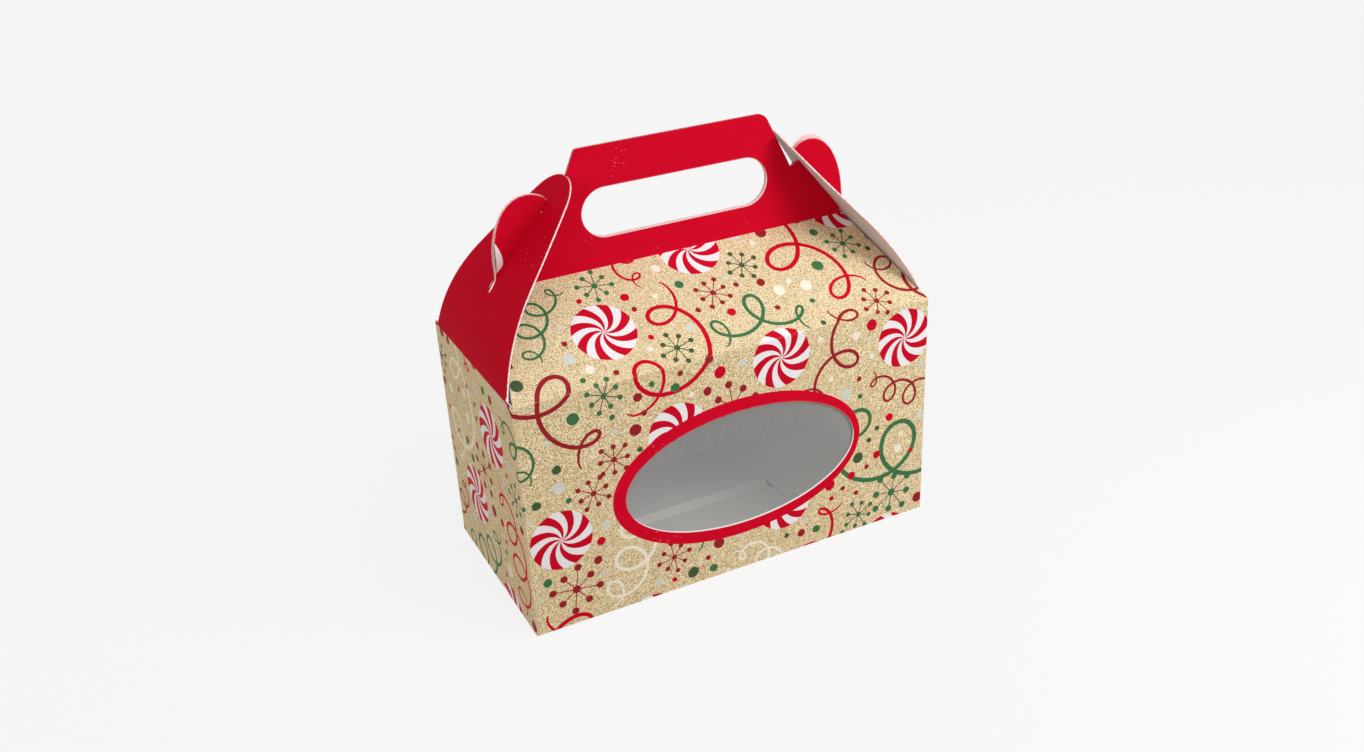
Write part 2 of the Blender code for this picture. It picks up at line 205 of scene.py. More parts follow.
# %% Outlines, read from the frame
LOOKS_ALONG = 0.7
NO_AREA = 1e-12


def outer_loops(node, facing):
    """The outline and holes of a CAD board's outer face, as closed loops of points in space.

    The triangles that look the way of facing are kept. A directed edge whose opposite belongs to
    no kept triangle lies on the outline, and these edges are walked one after another.
    """
    mesh = frame["nodes"][node].data
    points = np.empty(len(mesh.vertices) * 3)
    mesh.vertices.foreach_get("co", points)
    spots, same = np.unique(points.reshape(-1, 3).round(6), axis=0, return_inverse=True)
    corners = np.array([tuple(face.vertices) for face in mesh.polygons])
    triangles = same.reshape(-1)[corners]
    tri = spots[triangles]
    normal = np.cross(tri[:, 1] - tri[:, 0], tri[:, 2] - tri[:, 0])
    normal /= np.maximum(np.linalg.norm(normal, axis=1), NO_AREA)[:, None]
    kept = triangles[normal @ (np.array(facing) / np.linalg.norm(facing)) > LOOKS_ALONG]
    edges = {(int(t[i]), int(t[i - 2])) for t in kept for i in range(3)}
    follow = {start: end for start, end in edges if (end, start) not in edges}
    loops = []
    while follow:
        start, here = follow.popitem()
        walk = [start]
        while here != start:
            walk.append(here)
            here = follow.pop(here)
        loops.append(spots[walk])
    return sorted(loops, key=lambda loop: -np.ptp(loop, axis=0).sum())


FLAP_LOOKS = (-0.9, 0, 0.45)
flap_face = outer_loops("left_end_flap", FLAP_LOOKS)
print("the end flap has", len(flap_face), "outlines: its rim and its slit")

# %% [markdown]
# The end flaps lean in and are bowed. Their side view is a curve that the frame already holds: the
# outer face's points, sorted by height, with the run along them. The left flap of this carton is
# not pressed home, so it bulges out further than the right one. The right one is twisted, with its
# front edge pressed in.

# %% Fold of an end flap
rim = np.concatenate(flap_face)
flap_z, first = np.unique(rim[:, 2].round(5), return_index=True)
flap_x = rim[first, 0]
flap_run = np.concatenate([[0], np.cumsum(np.hypot(np.diff(flap_x), np.diff(flap_z)))])
FLAP_LENGTH = flap_run[-1]
print(f"end flap: {len(flap_run)} rows, {FLAP_LENGTH * 1000:.1f} mm long")


def bulged(amount, tuck):
    """The flap's curve, pushed out by a bulge and in at its tip, as x and z at each row.

    At a share s of the run the push is amount times sin(pi s) (1 - s), less tuck times s to the
    sixth, along the curve's normal.
    """
    share = flap_run / FLAP_LENGTH
    push = amount * np.sin(math.pi * share) * (1 - share) - tuck * share ** 6
    return flap_x - push * np.gradient(flap_z, flap_run), flap_z + push * np.gradient(flap_x, flap_run)


FLAP_PUSH = {"left": (3.6 * MM, 1.0 * MM), "right": (0.3 * MM, 0)}
FLAP_CURVE = {side: bulged(*push) for side, push in FLAP_PUSH.items()}
FLAP_TWIST = {"left": 0.0, "right": 0.21}


def flap_fold(a, b, side):
    """An end flap as if on the left: across it y falls as a grows, and up it the run follows the
    side's curve. Below the eave it runs straight down into the wall.

    The twist times y times the share of the run is added to x, so one long edge leans in and the
    other one out.
    """
    run = b - EAVE
    y = -(a + WIDTH / 2) - DEPTH / 2
    x = np.interp(run, flap_run, FLAP_CURVE[side][0])
    x = x + FLAP_TWIST[side] * y * np.clip(run / FLAP_LENGTH, 0, 1)
    z = np.interp(run, flap_run, FLAP_CURVE[side][1]) + np.minimum(run, 0)
    return np.stack([x, y, z], 1)


# %% [markdown]
# ## The print
# The kraft side carries a festive scatter of common motifs: swirl sweets, curling ribbons, starbursts
# and dots. Each motif is a few closed outlines with an ink. They are spread by a simple rule: of many
# random spots, take the one with the most room.
#
# An ink is a colour and, as its fourth number, how well it covers the kraft below it. Bare kraft is
# the ink that covers nothing.

# %% Inks
INKS = {
    "kraft": (0.60, 0.45, 0.28, 0.0),
    "red": (0.560, 0.0015, 0.0200, 1.0),
    "deep_red": (0.300, 0.0040, 0.0170, 0.98),
    "green": (0.012, 0.1450, 0.0500, 0.95),
    "deep_green": (0.016, 0.0720, 0.0240, 0.94),
    "cream": (0.860, 0.8250, 0.7000, 0.90),
    "white": (0.820, 0.8100, 0.8400, 1.0),
    "silver": (0.600, 0.6600, 0.6600, 0.75),
    "red_field": (0.640, 0.0034, 0.0240, 1.0),
    # The end flaps' red is the handle's red made darker: painted shade, as the flaps turn away from the
    # light.
    "flap_red_painted_shade": (0.530, 0.0016, 0.0180, 1.0),
    "core": (0.930, 0.9300, 0.9300, 1.0),
    # Painted shade: the dark gap between the two layers of the front left ear.
    "painted_gap_shade": (0.110, 0.1100, 0.1200, 1.0),
    "rubbed": (0.930, 0.5000, 0.5400, 1.0),
}
INK_NUMBER = {name: number for number, name in enumerate(INKS)}
print(len(INKS), "inks")

# %% [markdown]
# A motif is drawn round the origin at its size and then turned and moved to its spot. The swirl
# sweet and the starburst are made of circles, spirals and bars.

# %% Swirl sweets and starbursts
DISC_STEPS = 48
WEDGES = 8
WEDGE_START = 0.03
WEDGE_STEPS = 10
WEDGE_END_STEPS = 5
SWEET_TWIST = math.radians(62)
SWEET_EASE = 0.8
ARMS = 8
SHORT_ARM = 0.80
ARM_WIDTH = 0.50 * MM
ARM_DOT, ARM_DOT_STEPS = 0.16, 12
HUB_DOT, HUB_DOT_STEPS = 0.18, 14


def ring(radius, steps, squash=1.0):
    """A circle's points: radius times cosine and sine, with the second squashed."""
    turn = np.arange(steps) / steps * math.tau
    return np.stack([radius * np.cos(turn), radius * squash * np.sin(turn)], 1)


def swirl_sweet(radius, ink):
    """A white disc with curved wedges.

    The edges of a wedge are spirals: the angle grows with a power of the share of the radius, and
    a wedge is as wide as the gap beside it at every radius.
    """
    shapes = [(ring(radius, DISC_STEPS), "white")]
    share = np.linspace(WEDGE_START, 1, WEDGE_STEPS)
    bend = SWEET_TWIST * share ** SWEET_EASE
    width = math.tau / (2 * WEDGES)
    arc = np.linspace(0, width, WEDGE_END_STEPS)[1:-1]
    for k in range(WEDGES):
        angles = np.concatenate([bend, bend[-1] + arc, bend[::-1] + width]) + k * math.tau / WEDGES
        reach = radius * np.concatenate([share, np.ones(len(arc)), share[::-1]])
        shapes.append((np.stack([reach * np.cos(angles), reach * np.sin(angles)], 1), ink))
    return shapes


def starburst(radius, ink, arm_ink):
    """Thin arms with a dot at each end, every second one shorter, round a dot in the middle."""
    shapes = []
    for k in range(ARMS):
        reach = radius * (1 if k % 2 else SHORT_ARM)
        turn = k * math.tau / ARMS
        way = np.array([math.cos(turn), math.sin(turn)])
        side = np.array([-way[1], way[0]]) * ARM_WIDTH / 2
        shapes.append((np.array([-side, reach * way - side, reach * way + side, side]), arm_ink))
        shapes.append((reach * way + ring(radius * ARM_DOT, ARM_DOT_STEPS), ink))
    return shapes + [(ring(radius * HUB_DOT, HUB_DOT_STEPS), ink)]


print("a swirl sweet has", len(swirl_sweet(MM, "red")), "outlines")

# %% [markdown]
# A curling ribbon is one long stroke. Its middle line comes from circles that travel along a bent
# base line, as a curl drawn with one sweep of the hand does, and the stroke is thin at both ends.

# %% Curling ribbons
RIBBON_STEPS = 26
END_STEPS = 12
CURL_START = 0.25
CURL_LATE = 0.8
CURL_ROUND = 0.7
THIN_END = 0.30
STROKE_ROUND = 0.45


def ribbon_line(length, loops, curl, bend, t):
    """The middle line of a curling ribbon, at shares t of its length.

    A base line turns evenly by its bend. Round it the line circles once for each loop. The circle
    starts small, is widest past the middle and closes again, by a power of a half sine.
    """
    heading = bend * (t - 0.5)
    base = np.stack([np.sin(heading), -np.cos(heading)], 1) * length / bend
    swell = curl * (CURL_START + (1 - CURL_START) * np.sin(math.pi * t ** CURL_LATE) ** CURL_ROUND)
    phase = math.tau * loops * t + heading
    return base + swell[:, None] * np.stack([np.sin(phase), -np.cos(phase)], 1)


def ribbon(length, loops, curl, bend, ink, width):
    """A curling ribbon: its line moved to either side by half a stroke, which swells by a power
    of a half sine from thin ends."""
    t = np.linspace(0, 1, RIBBON_STEPS * loops + END_STEPS)
    line = ribbon_line(length, loops, curl, bend, t)
    way = np.gradient(line, axis=0)
    way /= np.linalg.norm(way, axis=1)[:, None]
    stroke = width / 2 * (THIN_END + (1 - THIN_END) * np.sin(math.pi * t) ** STROKE_ROUND)
    side = np.stack([-way[:, 1], way[:, 0]], 1) * stroke[:, None]
    return [(np.concatenate([line + side, (line - side)[::-1]]), ink)]


print("a ribbon of three loops has", RIBBON_STEPS * 3 + END_STEPS, "points along its line")

# %% [markdown]
# The layout fills the sheet from the largest motif to the smallest. A map of the sheet keeps, for
# each small square, how far it is to the nearest motif.

# %% Find room on the sheet
SEED = 11
TRIES = 700
EDGE = 14 * MM
MAP_STEP = 1.5 * MM
rng = np.random.default_rng(SEED)
sheet_low = np.array([-WIDTH / 2 - DEPTH - EDGE, -EDGE])
sheet_high = np.array([1.5 * WIDTH + DEPTH + EDGE, RIDGE_B + EDGE])
map_a = np.arange(sheet_low[0] - 2 * EDGE, sheet_high[0] + 2 * EDGE, MAP_STEP)
map_b = np.arange(sheet_low[1] - 2 * EDGE, sheet_high[1] + 2 * EDGE, MAP_STEP)
free_room = np.full((len(map_a), len(map_b)), 1.0)
print_shapes = []


def add_motifs(count, shapes_of, footprint, margin, least=-1.0):
    """Places motifs one by one where their footprint has the most room, until that room is less
    than the least.

    The room at a spot is the least free room under the footprint's points, less their radius and
    the margin. The map then takes the lesser of itself and the distance to the new motif.
    """
    px, py, radius = footprint.T
    for number in range(count):
        spots = sheet_low + rng.random((TRIES, 2)) * (sheet_high - sheet_low)
        turns = rng.random(TRIES) * math.tau
        c, s = np.cos(turns)[:, None], np.sin(turns)[:, None]
        xs = spots[:, :1] + c * px - s * py
        ys = spots[:, 1:] + s * px + c * py
        column = np.clip(np.rint((xs - map_a[0]) / MAP_STEP).astype(int), 0, len(map_a) - 1)
        row = np.clip(np.rint((ys - map_b[0]) / MAP_STEP).astype(int), 0, len(map_b) - 1)
        room = (free_room[column, row] - radius - margin).min(axis=1)
        best = int(room.argmax())
        if room[best] < least:
            return
        away = np.hypot(map_a[:, None, None] - xs[best], map_b[None, :, None] - ys[best]) - radius
        np.minimum(free_room, away.min(axis=2), out=free_room)
        matrix = np.array([[c[best, 0], s[best, 0]], [-s[best, 0], c[best, 0]]])
        for outline, ink in shapes_of(number):
            print_shapes.append((outline @ matrix + spots[best], INK_NUMBER[ink]))


print("the map of the sheet has", free_room.shape, "squares")

# %% [markdown]
# A round motif asks for a round spot, and a ribbon for room all along its line. A sweet's or a
# starburst's spot is a little smaller than its radius, and starbursts and dots may take a place with
# slightly less than no room, so that neighbours touch here and there and the sheet looks full.
#
# A row of ribbons says how many there are, and their length, loops, curl, bend and stroke. A row of
# starbursts says how many, their radius, their spot, the least room and the first pair of inks. A
# row of dots says how many, and their radius.

# %% Spread the motifs over the sheet
RIBBON_ROOM = 2.3 * MM
ROOM_STEPS = 7


def spot(radius):
    """A round footprint."""
    return np.array([[0.0, 0.0, radius]])


def ribbon_room(length, loops, curl, bend):
    """A ribbon's footprint: small circles all along its line."""
    line = ribbon_line(length, loops, curl, bend, np.linspace(0, 1, ROOM_STEPS * loops))
    return np.concatenate([line, np.full((len(line), 1), RIBBON_ROOM)], 1)


SWEETS, SWEET_RADIUS, SWEET_ROOM = 35, 14.8 * MM, 14 * MM
PAIRS = (("deep_red", "deep_red"), ("deep_green", "deep_green"), ("green", "deep_green"))
RIBBON_INKS = ("red", "green", "red", "cream", "deep_red", "green", "red", "cream", "red", "deep_green")
DOT_INKS = ("deep_red", "green", "cream", "red", "silver", "deep_red", "deep_green", "silver")
RIBBONS = (
    (7, 100 * MM, 3, 17.0 * MM, 2.2, 2.5 * MM), (7, 92 * MM, 3, 15.0 * MM, -1.9, 2.5 * MM),
    (8, 82 * MM, 3, 13.0 * MM, -1.5, 2.2 * MM), (8, 74 * MM, 2, 15.0 * MM, 1.7, 2.2 * MM),
    (8, 66 * MM, 4, 9.5 * MM, 1.3, 1.8 * MM), (9, 58 * MM, 3, 9.0 * MM, -2.2, 1.8 * MM),
    (9, 46 * MM, 4, 6.4 * MM, -1.4, 1.4 * MM), (10, 38 * MM, 3, 6.0 * MM, 1.8, 1.4 * MM),
)
STARBURSTS = ((20, 11.5 * MM, 9 * MM, -2 * MM, 0), (30, 8.0 * MM, 6.5 * MM, -1.2 * MM, 1))
DOTS = ((110, 3.0 * MM), (150, 2.2 * MM), (240, 1.4 * MM))
DOT_STEPS = 18
DOT_SQUASH = 0.94
DOT_MARGIN = 0.2 * MM
DOT_OVERLAP = 0.3 * MM
add_motifs(SWEETS, lambda n: swirl_sweet(SWEET_RADIUS, "red"), spot(SWEET_ROOM), 0)
drawn = 0
for count, length, loops, curl, bend, stroke in RIBBONS:
    add_motifs(
        count,
        lambda n: ribbon(length, loops, curl, bend, RIBBON_INKS[(n + drawn) % len(RIBBON_INKS)], stroke),
        ribbon_room(length, loops, curl, bend), 0,
    )
    drawn += count
for count, size, room, least, first in STARBURSTS:
    add_motifs(count, lambda n: starburst(size, *PAIRS[(n + first) % len(PAIRS)]), spot(room), 0, least)
for count, size in DOTS:
    add_motifs(count, lambda n: [(ring(size, DOT_STEPS, DOT_SQUASH), DOT_INKS[n % len(DOT_INKS)])],
               spot(size), DOT_MARGIN, -DOT_OVERLAP)
print(len(print_shapes), "printed outlines")

# %% [markdown]
# The window has a wide red ring round it. The knife cut the window a little to the right of the
# printed ring, as it does on real cartons, so the ring is wider on the left. The knife also bruised
# the ink along the window's lower edge: the window's outline, moved down and a little to the right,
# leaves a thin white sickle there.

# %% The ring round the window
window_loops = outer_loops("front_wall", (0, -1, 0))
hole = window_loops[1]
hole_centre = (hole.min(0) + hole.max(0)) / 2
hole_half = (hole.max(0) - hole.min(0)) / 2
RING_SHIFT = -1.5 * MM
RING_WIDE = 5.0 * MM
RING_HIGH = 6.4 * MM
RING_STEPS = 96
BRUISE = np.array([0.20, -0.50]) * MM
ring_turn = np.arange(RING_STEPS) / RING_STEPS * math.tau
window_ring = np.stack([
    hole_centre[0] + RING_SHIFT + (hole_half[0] + RING_WIDE) * np.cos(ring_turn),
    hole_centre[2] + (hole_half[2] + RING_HIGH) * np.sin(ring_turn),
], 1)
window_bruise = hole[:, [0, 2]] + BRUISE
print("window", (2000 * hole_half).round(1), "mm")

# %% [markdown]
# ## Cutting and folding a panel
# The outlines of a panel and of the motifs on it are joined into one mesh by a constrained Delaunay
# triangulation, so that every edge of the print is an edge of the mesh and stays sharp at any
# distance. Each triangle takes the ink that covers its middle. For both, one has to tell which
# points an outline goes round.

# %% Points and outlines
NO_LENGTH = 1e-9
SHARPEST_MEAN = 0.3


def wraps(outline, points):
    """How often a closed outline goes round each point: edges that pass the point's level on its
    right count one going up and minus one going down."""
    x0, y0 = outline.T
    x1, y1 = np.roll(outline, -1, axis=0).T
    px, py = points[:, :1], points[:, 1:]
    side = (x1 - x0) * (py - y0) - (px - x0) * (y1 - y0)
    up = (y0 <= py) & (y1 > py) & (side > 0)
    down = (y0 > py) & (y1 <= py) & (side < 0)
    return up.sum(1) - down.sum(1)


def within(loops, points):
    """Whether each point lies in the first loop and in none of the others."""
    inside = wraps(loops[0], points) != 0
    for loop in loops[1:]:
        inside &= wraps(loop, points) == 0
    return inside


def inset(loop, distance):
    """The loop moved to its left by a distance, along the mean of its two edges' normals."""
    edge = np.roll(loop, -1, axis=0) - loop
    edge /= np.maximum(np.linalg.norm(edge, axis=1), NO_LENGTH)[:, None]
    normal = np.stack([-edge[:, 1], edge[:, 0]], 1)
    mean = normal + np.roll(normal, 1, axis=0)
    mean /= np.maximum(np.linalg.norm(mean, axis=1), SHARPEST_MEAN)[:, None]
    return loop + mean * distance


def inks_at(points, shapes, field):
    """The number of the ink on top at each point: the last shape that goes round it."""
    ink = np.full(len(points), field)
    for outline, number in shapes:
        near = ((points > outline.min(0)) & (points < outline.max(0))).all(1).nonzero()[0]
        ink[near[wraps(outline, points[near]) != 0]] = number
    return ink


rounds = wraps(window_ring, hole_centre[None, [0, 2]])
print("the ring goes round the window's middle", abs(int(rounds[0])), "time")

# %% [markdown]
# The mesh of a panel needs its rim, the print and the fold lines as edges. A second line just inside
# the rim carries the wear of the edge, and a plain grid keeps the triangles small enough to bend.

# %% Triangulate a panel
GRID_STEP = 6 * MM
MERGE = 1e-6
WEAR_BAND = 0.5 * MM
NORMAL_STEP = 0.2 * MM


def triangulate(loops, shapes, lines):
    """Points and triangles of a panel, with the loops, the motifs and the fold lines as edges.

    The middles of the triangles and the motifs near the panel come along, for the inks.
    """
    low, high = loops[0].min(0), loops[0].max(0)
    near = [s for s in shapes if (s[0].max(0) > low).all() and (s[0].min(0) < high).all()]
    closed = list(loops) + [inset(loop, WEAR_BAND) for loop in loops] + [s[0] for s in near]
    points, edges, count = [], [], 0
    for outline in closed:
        size = len(outline)
        points.append(outline)
        order = count + np.arange(size)
        edges.append(np.stack([order, np.roll(order, -1)], 1))
        count += size
    for start, end in lines:
        points.append(np.array([start, end]))
        edges.append(np.array([[count, count + 1]]))
        count += 2
    steps = np.maximum(((high - low) / GRID_STEP).astype(int), 1)
    grid = np.stack(np.meshgrid(*[np.linspace(p, q, n + 1) for p, q, n in zip(low, high, steps)]), -1)
    points.append(grid.reshape(-1, 2))
    flat = [Vector(p) for p in np.concatenate(points).tolist()]
    found = geometry.delaunay_2d_cdt(flat, np.concatenate(edges).tolist(), [], 0, MERGE)
    spots = np.array([tuple(v) for v in found[0]])
    triangles = np.array(found[2])
    middles = spots[triangles].mean(1)
    keep = within(loops, middles)
    triangles, middles = triangles[keep], middles[keep]
    used, triangles = np.unique(triangles, return_inverse=True)
    return spots[used], triangles.reshape(-1, 3), middles, near


def fold_normals(fold, spots):
    """The outward normal at each point: the cross product of small steps across and up."""
    a, b = spots.T
    across = fold(a + NORMAL_STEP, b) - fold(a - NORMAL_STEP, b)
    up = fold(a, b + NORMAL_STEP) - fold(a, b - NORMAL_STEP)
    normal = np.cross(across, up)
    return normal / np.linalg.norm(normal, axis=1)[:, None]


trial = triangulate([window_ring], (), ())
print("the ring's oval alone takes", len(trial[1]), "triangles")

# %% [markdown]
# A panel is then folded: its points go to their places, a second face lies one board further in, and
# a strip of quads closes the rim. The ink is kept on the faces and the wear on the points, where the
# materials read them.

# %% Fold and thicken a panel
PRINTED, RED, INSIDE, CUT = 0, 1, 2, 3
SHARP_FOLD = math.radians(40)


def board_piece(name, loops, fold, field="kraft", shapes=(), lines=(), thickness=BOARD, cut=None,
                inked=None, scuffed=None, inside=None):
    """A closed board: the inked outer face, the same face pushed in by the thickness and turned
    round, and a strip of quads along every edge that only one triangle has.

    At a place (a, b), cut says how worn the edge is, scuffed how worn the face is, and inked
    whether the rim shows ink. Inside is the finish of the inner face.
    """
    spots, triangles, middles, near = triangulate(loops, shapes, lines)
    outer = fold(*spots.T)
    inner = outer - thickness * fold_normals(fold, spots)
    count = len(spots)
    edges = np.concatenate([triangles[:, [i, (i + 1) % 3]] for i in range(3)])
    code = edges[:, 0] * count + edges[:, 1]
    rim = edges[~np.isin(code, edges[:, 1] * count + edges[:, 0])]
    i, j = rim.T
    strip = np.stack([j, i, i + count, j + count], 1)
    faces = triangles.tolist() + (triangles[:, ::-1] + count).tolist() + strip.tolist()
    mesh = bpy.data.meshes.new(name)
    mesh.from_pydata(np.concatenate([outer, inner]).tolist(), [], faces)
    inside = inside or (BARE_BOARD if field == "kraft" else SHADED_RED_INSIDE)
    ink = inks_at(middles, near, INK_NUMBER[field])
    colours = np.array(list(INKS.values()))
    painted = np.concatenate([colours[ink], np.tile(colours[0], (len(faces) - len(ink), 1))])
    worn = np.zeros(2 * count, np.float32)
    if scuffed is not None:
        worn[:count] = scuffed(*spots.T)
    on_rim = np.unique(rim)
    worn[on_rim] = 1 if cut is None else cut(*spots[on_rim].T)
    mesh.attributes.new("wear", "FLOAT", "POINT").data.foreach_set("value", worn)
    slots = np.where(np.isin(ink, (INK_NUMBER["red_field"], INK_NUMBER["flap_red_painted_shade"])), RED, PRINTED)
    slots = np.concatenate([slots, np.full(len(faces) - len(ink), INSIDE)]).astype(np.int32)
    if field != "kraft":
        slots[2 * len(ink):] = CUT
        painted[2 * len(ink):] = colours[INK_NUMBER[field]]
    if inked is not None:
        slots[2 * len(ink):][inked(*spots[i].T)] = RED
    layer = mesh.attributes.new("ink", "FLOAT_COLOR", "FACE")
    layer.data.foreach_set("color", painted.astype(np.float32).ravel())
    for material in (PRINTED_KRAFT, RED_BOARD, inside, CUT_EDGE):
        mesh.materials.append(material)
    mesh.polygons.foreach_set("material_index", slots)
    mesh.shade_smooth()
    mesh.set_sharp_from_angle(angle=SHARP_FOLD)
    obj = bpy.data.objects.new(name, mesh)
    bpy.context.scene.collection.objects.link(obj)
    print(f"{name}: {len(faces)} faces")
    return obj


print(f"a board's edges stay sharp from {math.degrees(SHARP_FOLD):.0f} degrees on")

# %% [markdown]
# ## Materials
# A few finishes make the carton: the printed kraft, the coated red, the bare inside of the board, the
# cut edge and the clear film. All but the film are noises on the object's own coordinates. These are
# in metres, so a noise of scale 1000 has a grain of about a millimetre. The values of a noise crowd
# round one half, so a ramp over a narrow span already gives its full contrast.

# %% Node helpers
def new_material(name):
    """A material with its nodes, links and Principled shader."""
    print("finish:", name)
    material = bpy.data.materials.new(name)
    material.use_nodes = True
    nodes, links = material.node_tree.nodes, material.node_tree.links
    return material, nodes, links, nodes["Principled BSDF"]


def noise(nodes, links, place, scale, detail, stretch=(1, 1, 1)):
    """Noise on object coordinates, with its grain stretched along an axis where asked."""
    mapping = nodes.new("ShaderNodeMapping")
    mapping.inputs["Scale"].default_value = stretch
    links.new(place, mapping.inputs["Vector"])
    node = nodes.new("ShaderNodeTexNoise")
    node.inputs["Scale"].default_value = scale
    node.inputs["Detail"].default_value = detail
    links.new(mapping.outputs["Vector"], node.inputs["Vector"])
    return node.outputs["Fac"]


def ramp(nodes, links, value, low, high, to_low=0.0, to_high=1.0):
    """Maps a span of a value to another span, held at its ends."""
    node = nodes.new("ShaderNodeMapRange")
    node.inputs["From Min"].default_value = low
    node.inputs["From Max"].default_value = high
    node.inputs["To Min"].default_value = to_low
    node.inputs["To Max"].default_value = to_high
    links.new(value, node.inputs["Value"])
    return node.outputs["Result"]


print("noise, ramp and material helpers are ready")

# %% [markdown]
# Values and colours are joined by small nodes. Each of these helpers takes sockets or plain numbers,
# so that a finish reads like a sum.

# %% Helpers that join values and colours
def math_node(nodes, links, kind, first, second):
    """One step of arithmetic with two values, either of which may be a plain number."""
    node = nodes.new("ShaderNodeMath")
    node.operation = kind
    for socket, value in zip(node.inputs, (first, second)):
        if isinstance(value, (int, float)):
            socket.default_value = value
        else:
            links.new(value, socket)
    return node.outputs["Value"]


def mix_colour(nodes, links, share, first, second, kind="MIX"):
    """Mixes two colours by a share. Each may be a socket, a colour or a plain number."""
    node = nodes.new("ShaderNodeMix")
    node.data_type = "RGBA"
    node.blend_type = kind
    for name, value in (("Factor", share), ("A", first), ("B", second)):
        socket = next(s for s in node.inputs if s.name == name and s.type in ("VALUE", "RGBA")
                      and (s.type == "RGBA") == (name != "Factor"))
        if isinstance(value, (int, float, tuple)):
            socket.default_value = value
        else:
            links.new(value, socket)
    return next(s for s in node.outputs if s.type == "RGBA")


def bump(nodes, links, shader, height, distance, strength):
    """Bump from a height of 0 to 1, where 1 is as high as the distance says."""
    node = nodes.new("ShaderNodeBump")
    node.inputs["Strength"].default_value = strength
    node.inputs["Distance"].default_value = distance
    links.new(height, node.inputs["Height"])
    links.new(node.outputs["Normal"], shader.inputs["Normal"])


def attribute(nodes, name):
    """The node that reads what a board piece keeps on its faces or points."""
    node = nodes.new("ShaderNodeAttribute")
    node.attribute_name = name
    return node


print("arithmetic, mixing and bump helpers are ready")

# %% [markdown]
# The kraft side is full of short fibres and flecks. A fine noise stands for the grain, the highest
# and lowest peaks of a coarser one for pale and dark flecks, and a broad one for soft patches. The
# ink covers this ground as far as its cover says.

# %% Printed kraft
KRAFT_GRAIN, KRAFT_FLECK, KRAFT_PATCH = 2200, 1050, 45
DARK_FIBRE = (0.360, 0.245, 0.108, 1)
PALE_FIBRE = (1.000, 0.860, 0.585, 1)
PATCH_TONE = (0.620, 0.475, 0.270, 1)
PALE_FLECK = (0.900, 0.820, 0.620, 1)
DARK_FLECK = (0.240, 0.130, 0.050, 1)
WORN_KRAFT = (0.760, 0.660, 0.540, 1)


def kraft_ground(nodes, links, place):
    """The colour of bare kraft, and the grain and patches it is made from."""
    grain = noise(nodes, links, place, KRAFT_GRAIN, 1.5)
    fleck = noise(nodes, links, place, KRAFT_FLECK, 1)
    patch = noise(nodes, links, place, KRAFT_PATCH, 3)
    ground = mix_colour(nodes, links, ramp(nodes, links, grain, 0.37, 0.63), DARK_FIBRE, PALE_FIBRE)
    for source, low, high, share, tone in (
        (patch, 0.35, 0.65, 0.22, PATCH_TONE), (fleck, 0.70, 0.78, 0.65, PALE_FLECK),
        (fleck, 0.345, 0.275, 0.85, DARK_FLECK),
    ):
        ground = mix_colour(nodes, links, ramp(nodes, links, source, low, high, 0, share), ground, tone)
    return ground, grain, patch


def printed_kraft():
    """Kraft board with the ink of each face laid over its grain."""
    material, nodes, links, shader = new_material("printed_kraft")
    place = nodes.new("ShaderNodeTexCoord").outputs["Object"]
    ground, grain, patch = kraft_ground(nodes, links, place)
    ink = attribute(nodes, "ink")
    mottle = ramp(nodes, links, grain, 0.30, 0.70, 0.88, 1.06)
    laid = mix_colour(nodes, links, 1.0, ink.outputs["Color"], mottle, "MULTIPLY")
    colour = mix_colour(nodes, links, ink.outputs["Alpha"], ground, laid)
    rough = ramp(nodes, links, grain, 0.40, 0.62, 0.2, 0.9)
    worn = math_node(nodes, links, "MULTIPLY", attribute(nodes, "wear").outputs["Fac"], rough)
    colour = mix_colour(nodes, links, worn, colour, WORN_KRAFT)
    links.new(colour, shader.inputs["Base Color"])
    links.new(ramp(nodes, links, patch, 0.3, 0.7, 0.50, 0.60), shader.inputs["Roughness"])
    shader.inputs["Specular IOR Level"].default_value = 0.05
    bump(nodes, links, shader, grain, 0.06 * MM, 0.5)
    return material


PRINTED_KRAFT = printed_kraft()

# %% [markdown]
# The red of the handle and the end flaps is a full coat of ink under a satin varnish. Handling has
# left a few pale scuffs, and the white core shows through along the cut edges.

# %% Coated red board
RED_CLOUD, RED_GRAIN, SCUFF_PATCH, SCUFF_SPECK = 90, 1300, 38, 760
DEEPER_RED = (0.42, 0.002, 0.012, 1)
SCUFF_PINK = (0.80, 0.30, 0.34, 1)
WORN_RED = (0.86, 0.60, 0.60, 1)


